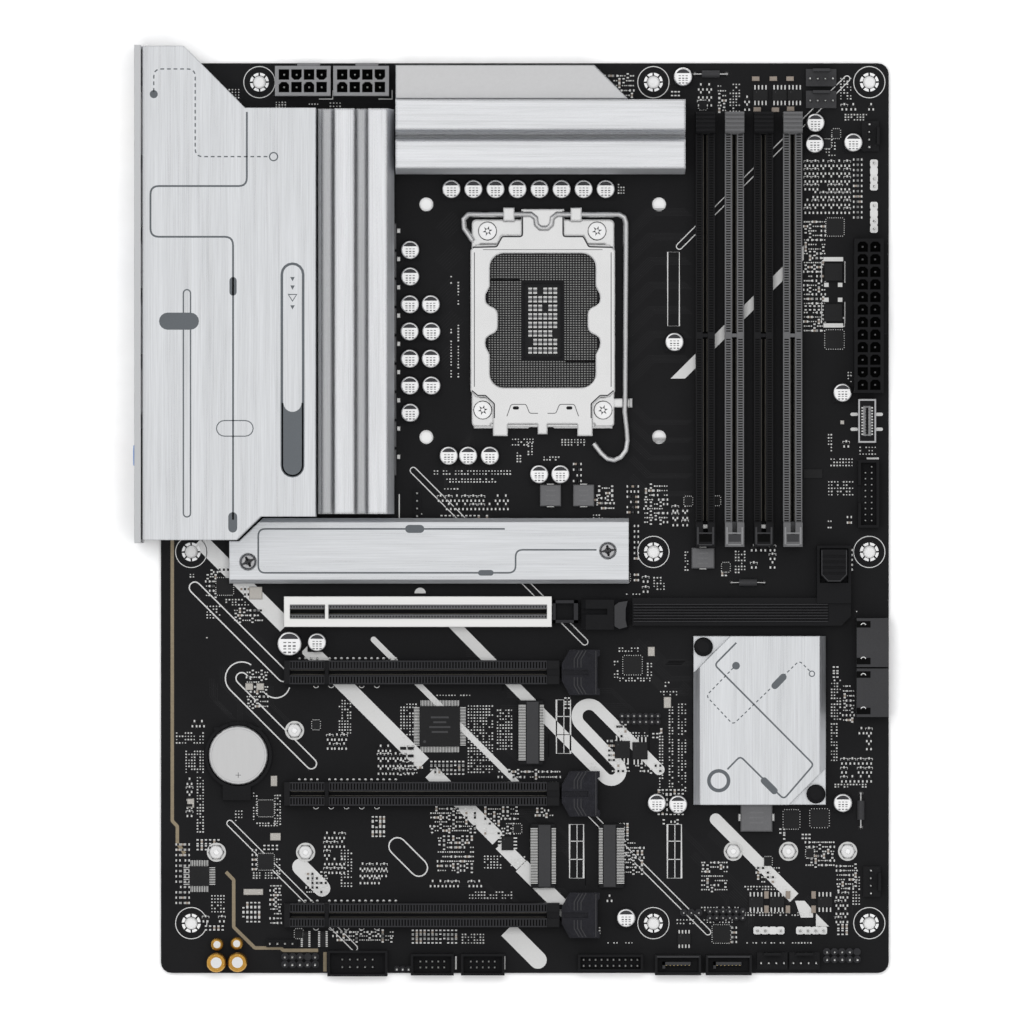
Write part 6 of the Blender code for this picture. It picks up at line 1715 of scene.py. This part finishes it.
def make_port_details():
    """Tongues and contacts in the rear ports, jack rings and antenna sockets."""
    front = node_box("usb_tower_1")[0]
    tongues = Piece("port_tongues", slot="plastic_black")
    usb_ports = []
    for name, count in (("usb_tower_1", 4), ("usb_tower_2", 4), ("lan_usb_tower", 2)):
        _, _, y0, y1, _, _ = node_box(name)
        usb_ports += [((y0 + y1) / 2, SEAT + 4.35 + 8.1 * i, name) for i in range(count)]
    for y, z, name in usb_ports:
        look = "port_blue" if name == "usb_tower_2" else "plastic_black"
        tongues.box(front + 0.9, front + 10.9, y - 5.6, y + 5.6, z + 0.2, z + 1.9, look)
        for i in range(4):
            cy = y - 3.5 + 2.33 * i
            tongues.box(front + 1.6, front + 8.0, cy - 0.5, cy + 0.5, z + 0.12, z + 0.22, "pin_gold")
    _, _, y0, y1, _, _ = node_box("lan_usb_tower")
    y = (y0 + y1) / 2
    for i in range(8):
        cy = y - 3.57 + 1.02 * i
        tongues.box(front + 2.0, front + 11.0, cy - 0.22, cy + 0.22, SEAT + 26.2, SEAT + 26.6, "pin_gold")
    _, _, y0, y1, _, _ = node_box("display_ports")
    y = (y0 + y1) / 2
    for z, width in ((SEAT + 6.0, 12.4), (SEAT + 19.5, 11.0)):
        tongues.box(front + 1.2, front + 10.5, y - width / 2, y + width / 2, z - 0.7, z + 0.7,
                    "plastic_black")
        for i in range(9):
            cy = y - width * 0.42 + width * 0.105 * i
            tongues.box(front + 1.8, front + 8.5, cy - 0.25, cy + 0.25, z + 0.68, z + 0.78, "pin_gold")
    tongues.build()

    jacks = Piece("jack_rings", slot="plastic_black")
    _, _, y0, y1, _, _ = node_box("audio_jacks")
    middle = (y0 + y1) / 2
    looks = ("jack_pink", "jack_green", "jack_blue")
    for side in (-1, 1):
        for level, z in enumerate((SEAT + 5.5, SEAT + 17.0, SEAT + 28.5)):
            look = looks[level] if side > 0 else "plastic_slate"
            proud = 0.9 if look == "jack_blue" else 0.15
            ring_outer, ring_inner = 3.6, 1.75
            cy = middle + side * 6.9
            rings = []
            for radius, x in ((ring_outer, front + 0.9), (ring_outer, front - proud + 0.3),
                              (ring_outer - 0.3, front - proud),
                              (ring_inner, front - proud), (ring_inner, front + 0.9)):
                rings.append([(x, cy - u, z + v) for u, v in circle(0, 0, radius, 24)])
            jacks.rings(rings + [rings[0]], look, smooth=True, closed=False)
    jacks.build()

    antennas = Piece("antenna_sockets", slot="gold_plate")
    _, _, y0, y1, _, _ = node_box("wifi_antenna_ports")
    middle = (y0 + y1) / 2
    for side in (-1, 1):
        cy, z = middle + side * 6.0, SEAT + 5.5
        rings = []
        for radius, x in ((3.1, front + 2.0), (3.1, front - 0.2), (2.9, front - 0.5), (2.15, front - 0.5),
                          (2.15, front + 2.0)):
            rings.append([(x, cy - u, z + v) for u, v in circle(0, 0, radius, 24)])
        antennas.rings(rings + [rings[0]], "pin_gold", smooth=True, closed=False)
        rings = [[(x, cy - u, z + v) for u, v in circle(0, 0, 0.5, 12)] for x in (front + 4.0, front - 0.3)]
        antennas.rings(rings, "pin_gold", smooth=True)
    antennas.build()


def make_underside():
    """Solder tails under the through-hole connectors."""
    tails = Piece("solder_tails", slot="solder_tin")

    def tail(x, y):
        tails.lathe(x, y, [(0.28, UNDERSIDE - 1.3), (0.4, UNDERSIDE - 1.0), (0.8, UNDERSIDE - 0.1),
                           (0.85, UNDERSIDE + 0.05)],
                    "solder_tin", 8)

    for index in range(4):
        x0, x1, y0, y1, _, _ = node_box(f"dimm_slot_{index + 1}")
        for i in range(36):
            for side in (-1, 1):
                tail((x0 + x1) / 2 + side * 1.6, y0 + 8.0 + 3.6 * i)
    for index in range(4):
        x0, x1, y0, y1, _, _ = node_box(f"pcie_slot_{index + 1}")
        for i in range(40):
            for side in (-1, 1):
                tail(45.0 + 2.1 * i, (y0 + y1) / 2 + side * (2.6 if i % 2 else 3.6))
    for name, columns, rows in POWER_SOCKETS:
        x0, x1, y0, y1, _, _ = node_box(name)
        cx, cy = ((x0 + x1) / 2, y0 + 5.0) if columns == 4 else (x0 + 4.95, (y0 + y1) / 2)
        for column in range(columns):
            for row in range(rows):
                if columns == 4 and 0 < column < 3:
                    continue
                tail(cx + (column - (columns - 1) / 2) * POWER_PITCH,
                     cy + (row - (rows - 1) / 2) * POWER_PITCH)
    tails.build()


make_stage()
make_camera()
make_light()
dress_nodes()
make_hole_pads()
make_bands()
make_outlines()
make_routing()
make_guard_lines()
make_cover_art()
make_plain_band()
make_m2_art()
make_chipset_art()
make_cans()
make_chokes()
make_diodes()
make_chips()
make_standoffs()
make_small_parts()
make_headers()
make_front_panel_details()
make_memory_details()
make_expansion_details()
make_latch_details()
make_power_contacts()
make_drive_sockets()
make_socket_details()
make_battery_details()
make_port_details()
make_underside()
